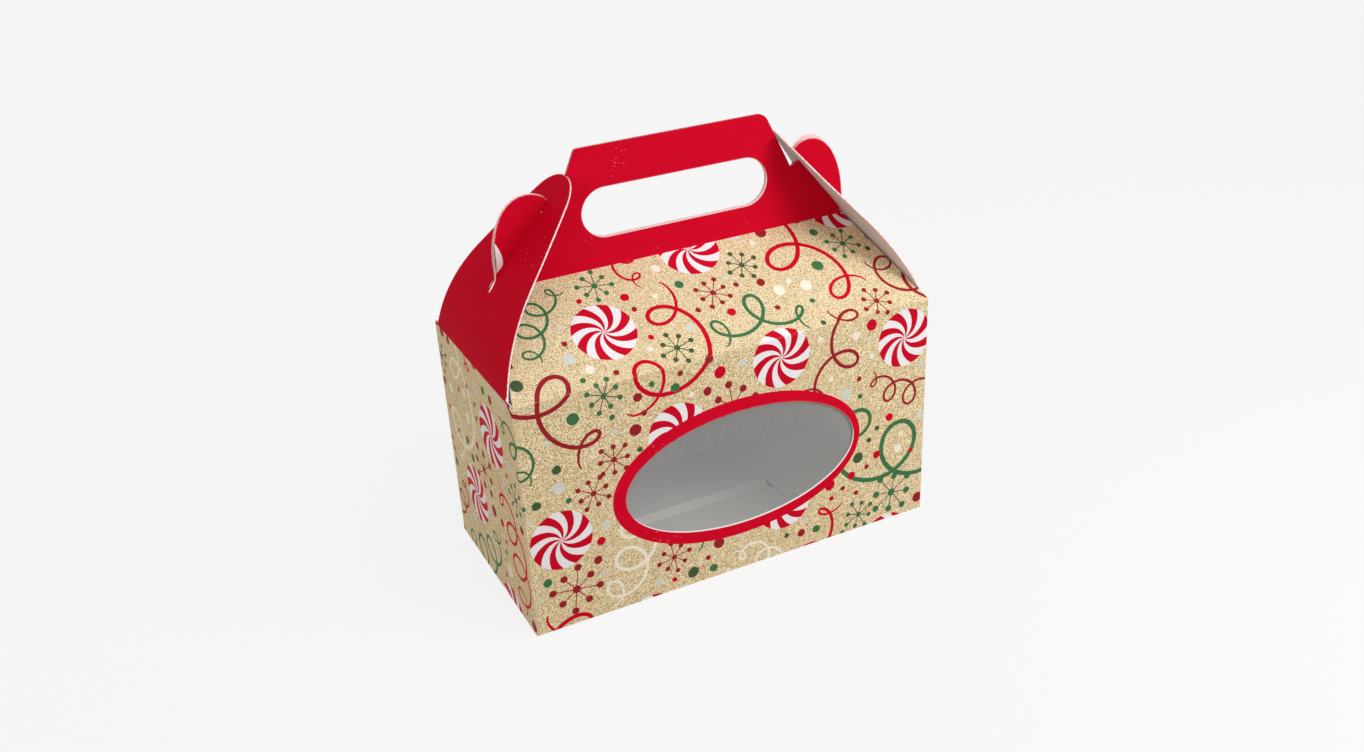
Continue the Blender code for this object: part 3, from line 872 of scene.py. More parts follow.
def coated_red():
    """Red board: the ink of each face with a faint mottle, scuffs and worn edges."""
    material, nodes, links, shader = new_material("coated_red")
    place = nodes.new("ShaderNodeTexCoord").outputs["Object"]
    cloud = noise(nodes, links, place, RED_CLOUD, 3)
    grain = noise(nodes, links, place, RED_GRAIN, 3)
    scuff_area = noise(nodes, links, place, SCUFF_PATCH, 2)
    speck = noise(nodes, links, place, SCUFF_SPECK, 1)
    ink = attribute(nodes, "ink")
    tone = ramp(nodes, links, cloud, 0.3, 0.7, 0.96, 1.03)
    red = mix_colour(nodes, links, 1.0, ink.outputs["Color"], tone, "MULTIPLY")
    red = mix_colour(nodes, links, ramp(nodes, links, grain, 0.35, 0.65, 0, 0.30), red, DEEPER_RED)
    area = ramp(nodes, links, scuff_area, 0.58, 0.68)
    scuff = math_node(nodes, links, "MULTIPLY", area, ramp(nodes, links, speck, 0.70, 0.75, 0, 0.55))
    red = mix_colour(nodes, links, scuff, red, SCUFF_PINK)
    rough = ramp(nodes, links, grain, 0.35, 0.6, 0.35, 1.0)
    worn = math_node(nodes, links, "MULTIPLY", attribute(nodes, "wear").outputs["Fac"], rough)
    colour = mix_colour(nodes, links, worn, red, WORN_RED)
    links.new(colour, shader.inputs["Base Color"])
    links.new(ramp(nodes, links, grain, 0.3, 0.7, 0.40, 0.52), shader.inputs["Roughness"])
    shader.inputs["Specular IOR Level"].default_value = 0.008
    bump(nodes, links, shader, grain, 0.03 * MM, 0.35)
    return material


RED_BOARD = coated_red()

# %% [markdown]
# Inside, the board is bare and white, with a soft fibrous tooth. Behind the full coat of red it is a
# darker, rosy grey: painted shade. The insides of the ears are pink.

# %% Bare board
BARE_FIBRE, BARE_PATCH = 700, 50
FIBRE_STRETCH = (1, 1, 0.4)


def bare_board(name, dark, light, patch):
    """The unprinted side and the core of the board, in two tones of fibre with soft patches."""
    material, nodes, links, shader = new_material(name)
    place = nodes.new("ShaderNodeTexCoord").outputs["Object"]
    fibres = noise(nodes, links, place, BARE_FIBRE, 4, FIBRE_STRETCH)
    cloud = noise(nodes, links, place, BARE_PATCH, 2)
    tone = ramp(nodes, links, fibres, 0.3, 0.7)
    white = mix_colour(nodes, links, tone, dark, light)
    white = mix_colour(nodes, links, ramp(nodes, links, cloud, 0.4, 0.7, 0, 0.3), white, patch)
    links.new(white, shader.inputs["Base Color"])
    links.new(ramp(nodes, links, fibres, 0.3, 0.7, 0.70, 0.85), shader.inputs["Roughness"])
    shader.inputs["Specular IOR Level"].default_value = 0.2
    bump(nodes, links, shader, fibres, 0.05 * MM, 0.5)
    return material


BARE_BOARD = bare_board(
    "bare_board", (0.690, 0.672, 0.660, 1), (0.830, 0.815, 0.805, 1), (0.720, 0.690, 0.680, 1),
)
EAR_INSIDE = bare_board(
    "ear_inside", (0.890, 0.520, 0.550, 1), (0.940, 0.600, 0.630, 1), (0.910, 0.550, 0.580, 1),
)
# Painted shade: behind the red the inside is a darker, rosier grey than the bare board.
SHADED_RED_INSIDE = bare_board(
    "red_board_inside_painted_shade", (0.590, 0.545, 0.575, 1), (0.710, 0.665, 0.700, 1), (0.600, 0.550, 0.575, 1),
)

# %% [markdown]
# Where the knife went through the red board, the white core has a blush of red, because the blade
# drags a little ink along.

# %% Cut edge
DRAG_GRAIN = 900
WHITE_CORE = (0.990, 0.870, 0.880, 1)
RED_BLUSH = (0.860, 0.460, 0.490, 1)


def cut_edge():
    """The core of the red board: white with a blush that follows a fine noise."""
    material, nodes, links, shader = new_material("cut_edge")
    place = nodes.new("ShaderNodeTexCoord").outputs["Object"]
    tone = ramp(nodes, links, noise(nodes, links, place, DRAG_GRAIN, 2), 0.42, 0.68)
    links.new(mix_colour(nodes, links, tone, WHITE_CORE, RED_BLUSH), shader.inputs["Base Color"])
    shader.inputs["Roughness"].default_value = 0.8
    shader.inputs["Specular IOR Level"].default_value = 0.1
    return material


CUT_EDGE = cut_edge()

# %% [markdown]
# The bottom flaps are printed on one side only as well: kraft underneath, bare on top. Their solids
# come from the frame and carry no inks, so this finish tells the two sides apart by their normal.

# %% Two-sided board
BOTTOM_DARK = (0.700, 0.680, 0.650, 1)
BOTTOM_LIGHT = (0.840, 0.825, 0.800, 1)


def bottom_board():
    """Kraft where a face looks down, bare board elsewhere, told apart by the face's own normal."""
    material, nodes, links, shader = new_material("bottom_board")
    coordinates = nodes.new("ShaderNodeTexCoord")
    ground, grain, _ = kraft_ground(nodes, links, coordinates.outputs["Object"])
    split = nodes.new("ShaderNodeSeparateXYZ")
    links.new(coordinates.outputs["Normal"], split.inputs["Vector"])
    bare = mix_colour(nodes, links, ramp(nodes, links, grain, 0.3, 0.7), BOTTOM_DARK, BOTTOM_LIGHT)
    down = ramp(nodes, links, split.outputs["Z"], -0.6, -0.5, 1, 0)
    colour = mix_colour(nodes, links, down, bare, ground)
    links.new(colour, shader.inputs["Base Color"])
    shader.inputs["Roughness"].default_value = 0.75
    shader.inputs["Specular IOR Level"].default_value = 0.05
    bump(nodes, links, shader, grain, 0.05 * MM, 0.5)
    return material


BOTTOM_BOARD = bottom_board()

# %% [markdown]
# The film is a clear plastic sheet. It lets nearly all light through and shows more at a flat angle,
# so its alpha grows with the angle and is no single number.

# %% Clear film
def clear_film():
    """Thin clear film: mostly see-through, more so face on than at a flat angle."""
    material, nodes, links, shader = new_material("clear_film")
    facing = nodes.new("ShaderNodeLayerWeight")
    facing.inputs["Blend"].default_value = 0.30
    links.new(ramp(nodes, links, facing.outputs["Facing"], 0.0, 1.0, 0.07, 0.55), shader.inputs["Alpha"])
    shader.inputs["Base Color"].default_value = (0.82, 0.85, 0.87, 1)
    shader.inputs["Roughness"].default_value = 0.08
    shader.inputs["Specular IOR Level"].default_value = 0.8
    return material


CLEAR_FILM = clear_film()

# %% [markdown]
# ## The walls
# The four walls are one sleeve. Each panel runs round half of each corner, where it meets the next
# one in a mitre, so the corners look folded and not joined. For each wall the table gives its middle
# on the sheet, half its width, and its turn about the middle of the carton.

# %% Make the four walls
WALL_TOP = EAVE - CREASE_LEG
CORNER_STEPS = 4
CORNER_WEAR = 0.45
WINDOW_WEAR = 0.30


def rectangle(left, right, low, high):
    """A closed outline, anticlockwise."""
    return np.array([(left, low), (right, low), (right, high), (left, high)])


def corner_lines(middle, half):
    """Upright fold lines through the rounded corners of a wall."""
    at = half - CORNER_RADIUS + CORNER_RADIUS * np.arange(CORNER_STEPS) / CORNER_STEPS
    return [((middle + side * s, -MM), (middle + side * s, EAVE)) for s in at for side in (-1, 1)]


def wall_wear(a, b, middle, half):
    """How worn a wall's edge is: a little at the window, more down the folded corners."""
    corner = np.abs(a - middle) > half - CORNER_RADIUS / 8
    window = (b > MM) & (b < WALL_TOP - MM)
    return np.where(corner, CORNER_WEAR, WINDOW_WEAR * window)


WALLS = {
    "front_wall": (0, WIDTH / 2, 0),
    "right_wall": (WIDTH / 2 + DEPTH / 2, DEPTH / 2, math.pi / 2),
    "back_wall": (WIDTH + DEPTH, WIDTH / 2, math.pi),
    "left_wall": (-WIDTH / 2 - DEPTH / 2, DEPTH / 2, -math.pi / 2),
}
for node, (middle, half, turn) in WALLS.items():
    loops = [rectangle(middle - half, middle + half, 0, WALL_TOP)]
    shapes = list(print_shapes)
    if node == "front_wall":
        loops.append(hole[:, [0, 2]])
        shapes.append((window_ring, INK_NUMBER["red_field"]))
        shapes.append((window_bruise, INK_NUMBER["core"]))
    piece = board_piece(
        node + "_board", loops, lambda a, b: wall_fold(a, b, middle, half, turn),
        shapes=shapes, lines=corner_lines(middle, half), cut=lambda a, b: wall_wear(a, b, middle, half),
    )
    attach(piece, "carton")
    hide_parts(node)

# %% [markdown]
# ## The roof
# A roof panel is cut to fit between the two end flaps. Its outline comes from the frame and is laid
# out flat: the height above the eave, over the sine of the slope, is the way up the panel.

# %% Make the roof panels
def roof_loop(node):
    """A roof panel's outline on the blank, without the strips that belong to its creases."""
    loop = outer_loops(node, (0, -math.sin(ROOF_ANGLE), math.cos(ROOF_ANGLE)))[0]
    up = (loop[:, 2] - EAVE) / math.sin(ROOF_ANGLE)
    return np.stack([loop[:, 0], EAVE + np.clip(up, CREASE_LEG, ROOF_LENGTH - CREASE_LEG)], 1)


FRONT_TO_BACK = WIDTH + DEPTH
front_loop = roof_loop("front_roof_panel")
for name, shift, turned in (("front", 0, as_is), ("back", FRONT_TO_BACK, facing_back)):
    piece = board_piece(
        name + "_roof_board", [front_loop + (shift, 0)],
        lambda a, b: turned(roof_fold(a - shift, b)), shapes=print_shapes,
        cut=lambda a, b: (b > EAVE + 2 * CREASE_LEG) & (b < RIDGE_B - 2 * CREASE_LEG),
    )
    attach(piece, name + "_roof")
    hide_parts(name + "_roof_panel")

# %% [markdown]
# ## The handle
# Two layers of red board stand face to face. They all but touch at the ridge and at the top, and
# bulge apart a little between. Two things set this handle apart from the frame's even one:
# its left top corner is cut sharper, and its right slanted edge leans in a little towards the top.

# %% Shape the handle's outline
HANDLE_TOP = cad_high.z
handle_loops = [loop[:, [0, 2]] for loop in outer_loops("front_handle", (0, -1, 0))]
SHARP_CORNER = 0.30
CORNER_NEAR = 5 * MM
EDGE_LEAN = 1.2 * MM
RIGHT_OF_HOLE = 40 * MM
PAST_NOTCH = 59 * MM


def sharpened(loop):
    """The handle with its left top corner cut sharper than the right one.

    Shrinking an arc towards the point where its two lines meet keeps it touching both lines.
    """
    high = (loop[:, 0] < 0) & (loop[:, 1] > HANDLE_TOP - CORNER_NEAR)
    start = np.where(high, loop[:, 1], 1).argmin()
    before, after = loop[start - 1], loop[(start + 1) % len(loop)]
    below = before if before[1] < after[1] else after
    slope = (loop[start, 0] - below[0]) / (loop[start, 1] - below[1])
    corner = np.array([loop[start, 0] + slope * (HANDLE_TOP - loop[start, 1]), HANDLE_TOP])
    near = np.hypot(*(loop - corner).T) < CORNER_NEAR
    print("handle corner at", (corner * 1000).round(1), int(near.sum()), "points sharpened")
    return np.where(near[:, None], corner + (loop - corner) * SHARP_CORNER, loop)


def leaning(loop):
    """The handle with its right slanted edge moved in, by a share that grows from the notch's
    height to the top."""
    edge = loop[:, 0] > RIGHT_OF_HOLE
    foot = loop[loop[:, 0] > PAST_NOTCH, 1].max()
    share = np.clip((loop[:, 1] - foot) / (HANDLE_TOP - foot), 0, 1)
    return loop - np.stack([EDGE_LEAN * share * edge, 0 * share], 1)


handle_loops[0] = leaning(sharpened(handle_loops[0]))

# %% [markdown]
# The handle's outer edges are rubbed red, and the core shows only in the hole. The hand has also
# rubbed the ink off along the hole's lower side and round its right end: the hole's outline, moved
# right and down, leaves a thin sickle there.

# %% Make the handle panels
HANDLE_BOWS = {"front": 0.15 * MM, "back": 0.35 * MM}
HANDLE_WEAR = 0.30
RUB = np.array([0.45, -0.60]) * MM


def handle_fold(a, b, bow):
    """The front handle panel: upright, with a soft bulge between the ridge and the top."""
    z = RIDGE + b - RIDGE_B
    y = -RIDGE_Y - bow * dome(a, z, 0, WIDTH / 2, RIDGE, HANDLE_TOP)
    return np.stack([a, y, z], 1)


def in_hole(a, b):
    """Whether a point of the handle's rim belongs to the finger hole."""
    low, high = handle_loops[1].min(0), handle_loops[1].max(0)
    z = RIDGE + b - RIDGE_B
    return (a > low[0] - MM) & (a < high[0] + MM) & (z > low[1] - MM) & (z < high[1] + MM)


def mirrored(loop):
    """A loop seen from behind, still anticlockwise."""
    return loop[::-1] * (-1, 1)


def onto_blank(loop):
    """Moves a loop of (x, z) of the upright handle to the blank."""
    return np.stack([loop[:, 0], RIDGE_B + np.maximum(loop[:, 1] - RIDGE, CREASE_LEG)], 1)


rubbed = [(onto_blank(handle_loops[1] + RUB), INK_NUMBER["rubbed"])]
for name, turned, seen in (("front", as_is, as_is), ("back", facing_back, mirrored)):
    piece = board_piece(
        name + "_handle_board", [onto_blank(seen(loop)) for loop in handle_loops],
        lambda a, b: turned(handle_fold(a, b, HANDLE_BOWS[name])), field="red_field",
        shapes=rubbed if name == "front" else [],
        cut=lambda a, b: HANDLE_WEAR * in_hole(a, b), inked=lambda a, b: ~in_hole(a, b),
    )
    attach(piece, name + "_grip")
    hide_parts(name + "_handle")

# %% [markdown]
# ## The hooked ears
# Beyond the slit of the end flap the two layers spring apart. An ear is flat at its root, where the
# slit holds it, and the further out a point is, the more it stands off. The back right ear leans
# away from the front one, so that its rim shows. The four numbers of an ear say how far its tail
# stands off, and how far its end leans, sags and is pulled in.

# %% Bend the ears
EAR_REACH = 24 * MM
EAR_BEND = {
    "front_left_ear": (1.7 * MM, 0, 0, 0), "back_left_ear": (1.7 * MM, 0, 0, 0),
    "front_right_ear": (0.3 * MM, 0, 0.5 * MM, 1.7 * MM),
    "back_right_ear": (0.3 * MM, 5.0 * MM, -1.0 * MM, 1.7 * MM),
}
TAIL_REACH = 6 * MM
TAIL_SHARE = 0.55
EAR_WEAR = 0.6


def ear_fold(a, b, side, where, node):
    """A front ear. Its tail stands off, which fades out by the tail's share of the height. By the
    share of its reach past the flap the whole ear leans, sags and is pulled in."""
    z = RIDGE + b - RIDGE_B
    flap_at_z = np.interp(z, FLAP_CURVE[where][1], FLAP_CURVE[where][0])
    reach = np.clip(side * a + flap_at_z, 0, None)
    height = np.clip((z - RIDGE) / (HANDLE_TOP - RIDGE), 0, 1)
    tail, lean, sag, pull = EAR_BEND[node]
    low = np.clip(1 - height / TAIL_SHARE, 0, 1) * np.clip(reach / TAIL_REACH, 0, 1)
    share = reach / EAR_REACH
    y = -RIDGE_Y - tail * low - lean * height * share
    return np.stack([a - side * pull * share, y, z - sag * share], 1)


def beyond_flap(reach, b, where):
    """Whether a point of an ear's edge is clear of the flap's outer face by more than a board."""
    z = RIDGE + b - RIDGE_B
    return reach + np.interp(z, FLAP_CURVE[where][1], FLAP_CURVE[where][0]) > 2 * BOARD


print("an ear is fully bent", EAR_REACH * 1000, "mm past the flap")

# %% [markdown]
# The front left ear was bent hard at its tail. The red layer peeled off the white core there. A thin
# dark line along the ear's left edge is painted shade, for the shadowed gap between the two layers.
# Both are drawn as outlines on the upright handle, in millimetres, and moved to the blank.

# %% Make the ears
PEEL = np.array([
    (-94, 154.4), (-88.3, 155.4), (-86.4, 156.8), (-85.3, 158.2), (-85.0, 160.0), (-85.4, 162.8),
    (-86.2, 165.5), (-87.4, 168.0), (-88.9, 170.0), (-94, 170.5),
]) * MM
# A thin dark line of painted shade along the ear's left edge, where the gap between its layers lies.
PEEL_GAP_SHADE = np.array([
    (-90.0, 155.2), (-88.5, 155.6), (-88.3, 158.0), (-88.2, 163.0), (-88.0, 168.6), (-90.0, 168.6),
]) * MM
peeled = [(onto_blank(PEEL), INK_NUMBER["core"]), (onto_blank(PEEL_GAP_SHADE), INK_NUMBER["painted_gap_shade"])]
for name, turned, flip in (("front", as_is, 1), ("back", facing_back, -1)):
    for side_name, side in (("left", -1), ("right", 1)):
        node = f"{name}_{side_name}_ear"
        loop = outer_loops(node, (0, -flip, 0))[0][:, [0, 2]] * (flip, 1)
        piece = board_piece(
            node + "_board", [onto_blank(loop)],
            lambda a, b: turned(ear_fold(a, b, side * flip, side_name, node)), field="red_field",
            shapes=peeled if node == "front_left_ear" else [],
            cut=lambda a, b: EAR_WEAR * beyond_flap(a * side * flip, b, side_name), inside=EAR_INSIDE,
        )
        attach(piece, name + "_grip")
        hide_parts(node)

# %% [markdown]
# ## The end flaps
# The flaps are bowed because the ears pull them in against the handle. Their outline and slit are
# read from the frame and laid flat with the run along the curve. The slit's edge was pressed and not
# cut clean, so it shows the red and no white core.

# %% Lay the flaps flat
FLAP_MIDDLE = -WIDTH / 2 - DEPTH / 2
SLIT_ZONE = 8 * MM
SLIT_SPAN = (0.2 * FLAP_LENGTH, 0.86 * FLAP_LENGTH)


def flap_loop(loop):
    """A loop of the left flap's outer face, on the blank."""
    run = np.interp(loop[:, 2], flap_z, flap_run)
    return np.stack([FLAP_MIDDLE - loop[:, 1], EAVE + np.maximum(run, CREASE_LEG)], 1)


def on_slit(a, b):
    """Whether a point of the flap's rim belongs to the slit."""
    run = b - EAVE
    return (np.abs(a - FLAP_MIDDLE) < SLIT_ZONE) & (run > SLIT_SPAN[0]) & (run < SLIT_SPAN[1])


flap_loops = [flap_loop(loop) for loop in flap_face]
print("slit", (1000 * np.ptp(flap_loops[1], axis=0)).round(1), "mm")

# %% [markdown]
# The left flap is the worse for wear. Its front lower corner is torn down to the white core, and the
# foot of its slit is torn as well, which makes the slit a little longer.

# %% Make the end flaps
FRONT_CORNER = -WIDTH / 2
torn_points = np.array([(-7.2, 0.2), (-3.0, 0.2), (-3.0, 7.0), (-4.9, 5.4), (-5.6, 3.0)]) * MM
TORN = torn_points + (FRONT_CORNER, EAVE)
SLIT_FOOT = 34.5 * MM
TEAR = 1.6 * MM
split_points = np.array([
    (0.2, -1.8), (1.5, 0.8), (1.2, 3.4), (0.2, 6.4), (-1.1, 4.4), (-1.6, 1.6), (-1.0, -0.6),
]) * MM
SPLIT = split_points + (FLAP_MIDDLE, EAVE + SLIT_FOOT)
torn_slit = flap_loops[1].copy()
torn_slit[torn_slit[:, 1] < EAVE + SLIT_FOOT + TEAR, 1] -= TEAR
left_loops = [flap_loops[0], torn_slit]
tears = [(TORN, INK_NUMBER["core"]), (SPLIT, INK_NUMBER["core"])]
# The flaps take the darker red ink, which is painted shade.
for name, turned, loops in (("left", as_is, left_loops), ("right", facing_back, flap_loops)):
    piece = board_piece(
        name + "_flap_board", loops, lambda a, b: turned(flap_fold(a, b, name)), field="flap_red_painted_shade",
        shapes=tears if name == "left" else [],
        cut=lambda a, b: (b > EAVE + 2 * CREASE_LEG) & ~on_slit(a, b), inked=on_slit,
    )
    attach(piece, name + "_flap")
    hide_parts(name + "_end_flap")

# %% [markdown]
# ## The creases
# A crease is a narrow strip of the same board that bends as the panels fold. Each strip follows one
# panel at its lower edge and the other at its upper edge. A paler line runs along the middle of the
# eaves, most of all near the left end.

# %% Cut and bend a crease strip
ARC_LINES = 6
ARC_SPAN = 0.8 * CREASE_LEG
PALE_LINE_FADE = 90 * MM
PALE_LINE_LEAST = 0.18
PALE_LINE_MOST = 0.75


def across_lines(crease_b, left, right):
    """Fold lines along a crease, close enough together to make its arc round."""
    at = crease_b + np.linspace(-1, 1, ARC_LINES + 1) * ARC_SPAN
    return [((left, b), (right, b)) for b in at]


def pale_crease_line(a, b):
    """A paler line along the middle of the front and back eaves: it fades with the distance from the
    left end, or from the end of the back eave that meets it, down to its least."""
    from_left = np.minimum(np.abs(a + WIDTH / 2), np.abs(a - FRONT_TO_BACK - WIDTH / 2))
    paleness = np.clip(PALE_LINE_MOST - from_left / PALE_LINE_FADE, PALE_LINE_LEAST, 1)
    return np.where(np.abs(b - EAVE) < CREASE_LEG / 8, paleness, 0)


def strip(name, low_half, high_half, crease_b, fold, turned, bodies, shapes, shift, slot, scuffed=None):
    """A crease strip, bent along its crease. The two bodies are not used. Half its length is given for
    its lower and for its upper edge, and its middle is the shift."""
    low_b, high_b = crease_b - CREASE_LEG, crease_b + CREASE_LEG
    loop = np.array([(-low_half, low_b), (low_half, low_b), (high_half, high_b), (-high_half, high_b)])
    piece = board_piece(
        name, [loop + (shift, 0)], lambda a, b: turned(fold(a - shift, b)),
        shapes=shapes, lines=across_lines(crease_b, shift - low_half, shift + low_half),
        cut=lambda a, b: 0 * a, scuffed=scuffed,
    )
    ends = turned(fold(np.zeros(2), np.array([low_b, high_b])))
    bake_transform(piece)
    return piece


print("a crease strip is", 2 * CREASE_LEG * 1000, "mm wide")

# %% [markdown]
# Six creases move. The ridge strips and the strips of the end flaps are kraft below the crease and
# red above it, as the sheet is printed.

# %% Make the crease strips
eave_half = np.abs(front_loop[front_loop[:, 1] < EAVE + 2 * CREASE_LEG, 0]).max()
ridge_half = np.abs(front_loop[front_loop[:, 1] > RIDGE_B - 2 * CREASE_LEG, 0]).max()
for name, shift, turned in (("front", 0, as_is), ("back", FRONT_TO_BACK, facing_back)):
    strip(
        name + "_eave_crease", WIDTH / 2 - CORNER_RADIUS, eave_half, EAVE, roof_fold, turned,
        ("carton", name + "_roof"), print_shapes, shift, "kraft_board", pale_crease_line,
    )
    red_part = rectangle(shift - WIDTH, shift + WIDTH, RIDGE_B, RIDGE_B + DEPTH)
    shapes = print_shapes + [(red_part, INK_NUMBER["red_field"])]
    strip(
        name + "_ridge_crease", ridge_half, ridge_half, RIDGE_B, roof_fold, turned,
        (name + "_roof", name + "_grip"), shapes, shift, "red_board",
    )


flap_half = DEPTH / 2 - CORNER_RADIUS
# The red above the flap creases is the darker red as well: painted shade.
for name, middle, turned in (("left", FLAP_MIDDLE, as_is), ("right", -FLAP_MIDDLE, facing_back)):
    red_part = rectangle(middle - WIDTH, middle + WIDTH, EAVE, EAVE + DEPTH)
    shapes = print_shapes + [(red_part, INK_NUMBER["flap_red_painted_shade"])]
    strip(
        name + "_eave_crease", flap_half, flap_half, EAVE,
        lambda a, b: flap_fold(a + FLAP_MIDDLE, b, name), turned,
        ("carton", name + "_flap"), shapes, middle, "red_board",
    )

# %% [markdown]
# ## The window film
# The film is glued inside the front wall. It is never quite flat, so soft waves run across it. It is
# built like a board, with its own thickness and finish.

# %% Make the film
film_low, film_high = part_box("window_film")
FILM = film_high.y - film_low.y
FILM_WAVE = 0.10 * MM
WAVES_ACROSS, WAVES_UP, WAVES_ASLANT = 130, 170, 60


def film_fold(a, b):
    """The film: upright, in the front wall's bulge, with two crossing sine waves. Their turns are
    in radians per metre."""
    y = film_low.y - WALL_BOW * dome(a, b, 0, WIDTH / 2, 0, EAVE)
    y = y + FILM_WAVE * np.sin(a * WAVES_ACROSS) * np.sin(b * WAVES_UP + a * WAVES_ASLANT)
    return np.stack([a, y, b], 1)


film_loop = rectangle(film_low.x, film_high.x, film_low.z, film_high.z)
film = board_piece("window_pane", [film_loop], film_fold, thickness=FILM)
film.data.materials.clear()
film.data.materials.append(CLEAR_FILM)
film.data.polygons.foreach_set("material_index", np.zeros(len(film.data.polygons), np.int32))
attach(film, "carton")
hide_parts("window_film")

# %% [markdown]
# ## Flaps that stay in place
# The glue flap and the four bottom flaps are plain, so the frame's own solids are good enough and
# only get the board's finish.

# %% Finish the hidden flaps
frame["nodes"]["glue_flap"].data.materials.clear()
frame["nodes"]["glue_flap"].data.materials.append(BARE_BOARD)
for side_name in ("front", "back", "left", "right"):
    obj = frame["nodes"][side_name + "_bottom_flap"]
    obj.data.materials.clear()
    obj.data.materials.append(BOTTOM_BOARD)
    print(obj.name, "takes", BOTTOM_BOARD.name)

# %% [markdown]
# ## Studio
# The floor is plain and pale. Only rays that end in the picture see it at its full brightness, so
# that it doesn't throw too much light back up. It takes the carton's shadow. Right under the carton
# its glow fades out over the last centimetre inside the edge and is gone further in: painted shade,
# where the gaps between the bottom flaps would show the floor.

# %% Floor
FLOOR_HALF = 6.0
FLOOR_DROP = 0.1 * MM
FLOOR_GLOW = 0.825
FLOOR_BOUNCE = (0.37, 0.33, 0.28, 1)
FLOOR_SEEN = (0.10, 0.10, 0.10, 1)
PAINTED_SHADE_FADE = 10 * MM


def seen_rays(nodes, links):
    """One for rays that end in the picture: from the camera, off a gloss or through the film."""
    path = nodes.new("ShaderNodeLightPath")
    camera_ray, glossy_ray = path.outputs["Is Camera Ray"], path.outputs["Is Glossy Ray"]
    seen = math_node(nodes, links, "MAXIMUM", camera_ray, glossy_ray)
    return math_node(nodes, links, "MAXIMUM", seen, path.outputs["Is Transmission Ray"])


def past_side(nodes, links, way, half):
    """How far a place on the floor is past the carton's side: its distance from the middle, less
    half of the carton."""
    away = math_node(nodes, links, "ABSOLUTE", way, 0)
    return math_node(nodes, links, "SUBTRACT", away, half)


floor_mesh = bpy.data.meshes.new("floor")
floor_mesh.from_pydata(
    [(x * FLOOR_HALF, y * FLOOR_HALF, -FLOOR_DROP) for x, y in ((-1, -1), (1, -1), (1, 1), (-1, 1))],
    [], [(0, 1, 2, 3)],
)
floor = bpy.data.objects.new("floor", floor_mesh)
bpy.context.scene.collection.objects.link(floor)
floor_material, nodes, links, shader = new_material("floor_paint")
seen = seen_rays(nodes, links)
links.new(mix_colour(nodes, links, seen, FLOOR_BOUNCE, FLOOR_SEEN), shader.inputs["Base Color"])
shader.inputs["Emission Color"].default_value = (1, 1, 1, 1)
sides = nodes.new("ShaderNodeSeparateXYZ")
links.new(nodes.new("ShaderNodeTexCoord").outputs["Object"], sides.inputs["Vector"])
past_x = past_side(nodes, links, sides.outputs["X"], WIDTH / 2)
past_y = past_side(nodes, links, sides.outputs["Y"], DEPTH / 2)
# Painted shade: the glow fades out inside the carton's edge and is gone under the carton.
clear = ramp(nodes, links, math_node(nodes, links, "MAXIMUM", past_x, past_y), -PAINTED_SHADE_FADE, 0)
glow = math_node(nodes, links, "MULTIPLY", math_node(nodes, links, "MULTIPLY", seen, clear), FLOOR_GLOW)
links.new(glow, shader.inputs["Emission Strength"])
shader.inputs["Roughness"].default_value = 1.0
shader.inputs["Specular IOR Level"].default_value = 0.0
floor_mesh.materials.append(floor_material)
print("floor", 2 * FLOOR_HALF, "m wide")

# %% [markdown]
# Two very wide suns stand for soft boxes that are far off, so that the light is even over the whole
# floor: a key from the front and above, and a fill from the left. A real soft box stands close by at
# the right, so that this end of the carton is the brighter one. The room gives the rest. It looks as
# pale as the floor, so that no horizon shows behind the carton.

# %% Light
ROOM_LIGHT = 0.50
ROOM_SEEN = 0.92
AIM = Vector((0.05, 0, 0.12))
world = bpy.data.worlds.new("room")
bpy.context.scene.world = world
world.use_nodes = True
nodes, links = world.node_tree.nodes, world.node_tree.links
nodes["Background"].inputs["Color"].default_value = (1, 1, 1, 1)
strength = ramp(nodes, links, seen_rays(nodes, links), 0, 1, ROOM_LIGHT, ROOM_SEEN)
links.new(strength, nodes["Background"].inputs["Strength"])


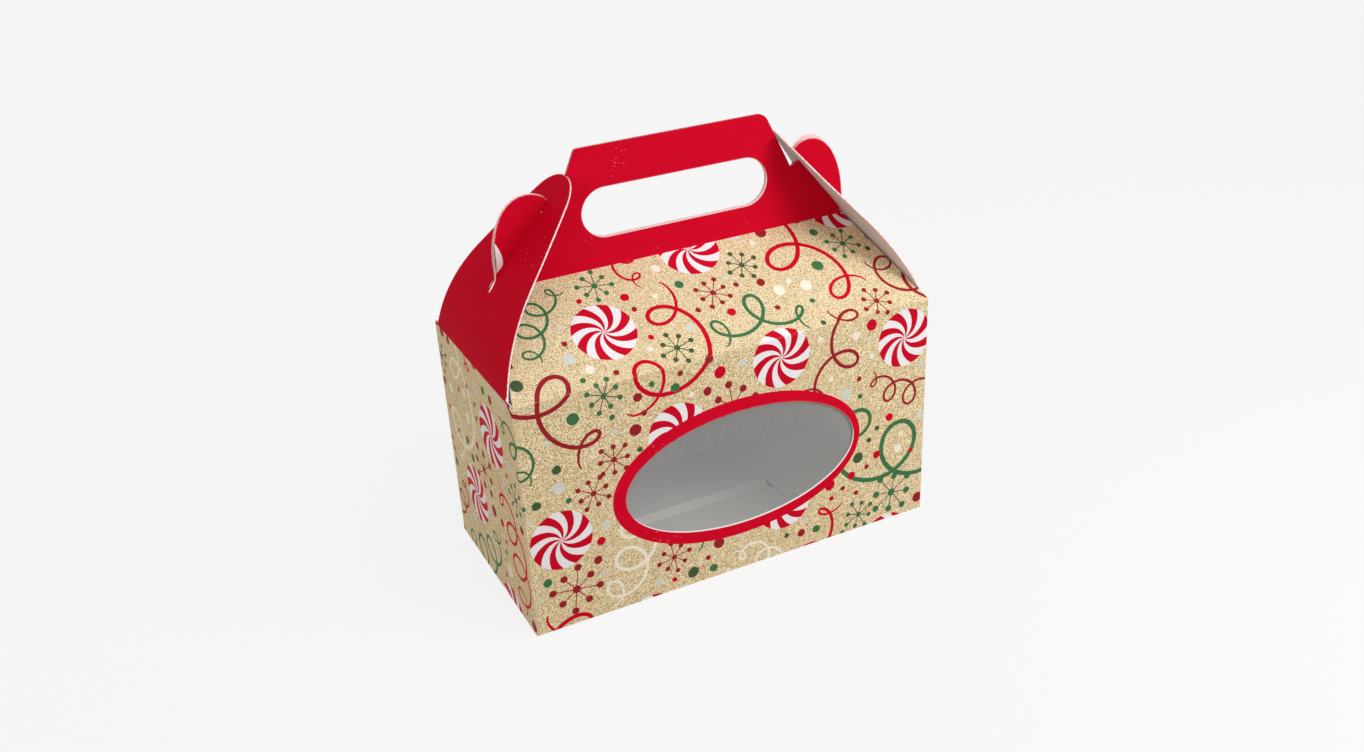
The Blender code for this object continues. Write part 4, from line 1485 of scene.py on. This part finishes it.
def soft_sun(name, towards, share, spread, tint):
    """A wide sun that gives a face turned to it this share of full light."""
    data = bpy.data.lights.new(name, "SUN")
    data.color = tint
    data.angle = math.radians(spread)
    data.energy = share * math.pi
    lamp = bpy.data.objects.new(name, data)
    bpy.context.scene.collection.objects.link(lamp)
    lamp.rotation_mode = "QUATERNION"
    lamp.rotation_quaternion = Vector(towards).to_track_quat("Z", "Y")
    print(name, "sun of", share, "of full light")


def soft_box(name, place, size, power):
    """A square lamp close by, which looks at the carton and gives more light to its near end."""
    data = bpy.data.lights.new(name, "AREA")
    data.size = size
    data.energy = power
    lamp = bpy.data.objects.new(name, data)
    bpy.context.scene.collection.objects.link(lamp)
    lamp.location = place
    lamp.rotation_mode = "QUATERNION"
    lamp.rotation_quaternion = (AIM - Vector(place)).to_track_quat("-Z", "Y")
    print(name, "soft box of", power, "watts")


soft_sun("key", towards=(0.12, -0.45, 0.88), share=0.30, spread=50, tint=(1.0, 1.0, 1.0))
soft_sun("fill", towards=(-0.92, -0.30, 0.05), share=0.43, spread=60, tint=(1.0, 0.91, 0.74))
soft_box("side", place=(0.36, -0.48, 0.41), size=0.30, power=2.1)

# %% [markdown]
# ## Camera
# The place and turn come from lining up the carton's corners, ridge, handle and window with the
# photograph. The camera is tilted sideways by three degrees.

# %% Camera
EYE = Vector((-0.2500, -0.5180, 0.3713))
LOOK = Vector((0.38606, 0.80498, -0.45052))
ROLL = math.radians(-2.94)
FOCAL_PIXELS = 1330
PHOTO_WIDTH = 1364
SENSOR_WIDTH = 36
camera_data = bpy.data.cameras.new("camera")
camera_data.sensor_width = SENSOR_WIDTH
camera_data.lens = FOCAL_PIXELS / PHOTO_WIDTH * SENSOR_WIDTH
camera = bpy.data.objects.new("camera", camera_data)
bpy.context.scene.collection.objects.link(camera)
camera.location = EYE
camera.rotation_mode = "QUATERNION"
camera.rotation_quaternion = LOOK.to_track_quat("-Z", "Y") @ Quaternion((0, 0, 1), ROLL)
bpy.context.scene.camera = camera
bpy.context.scene.view_settings.view_transform = "Standard"
print(f"lens {camera_data.lens:.1f} mm, {EYE.length:.2f} m from the carton's foot")
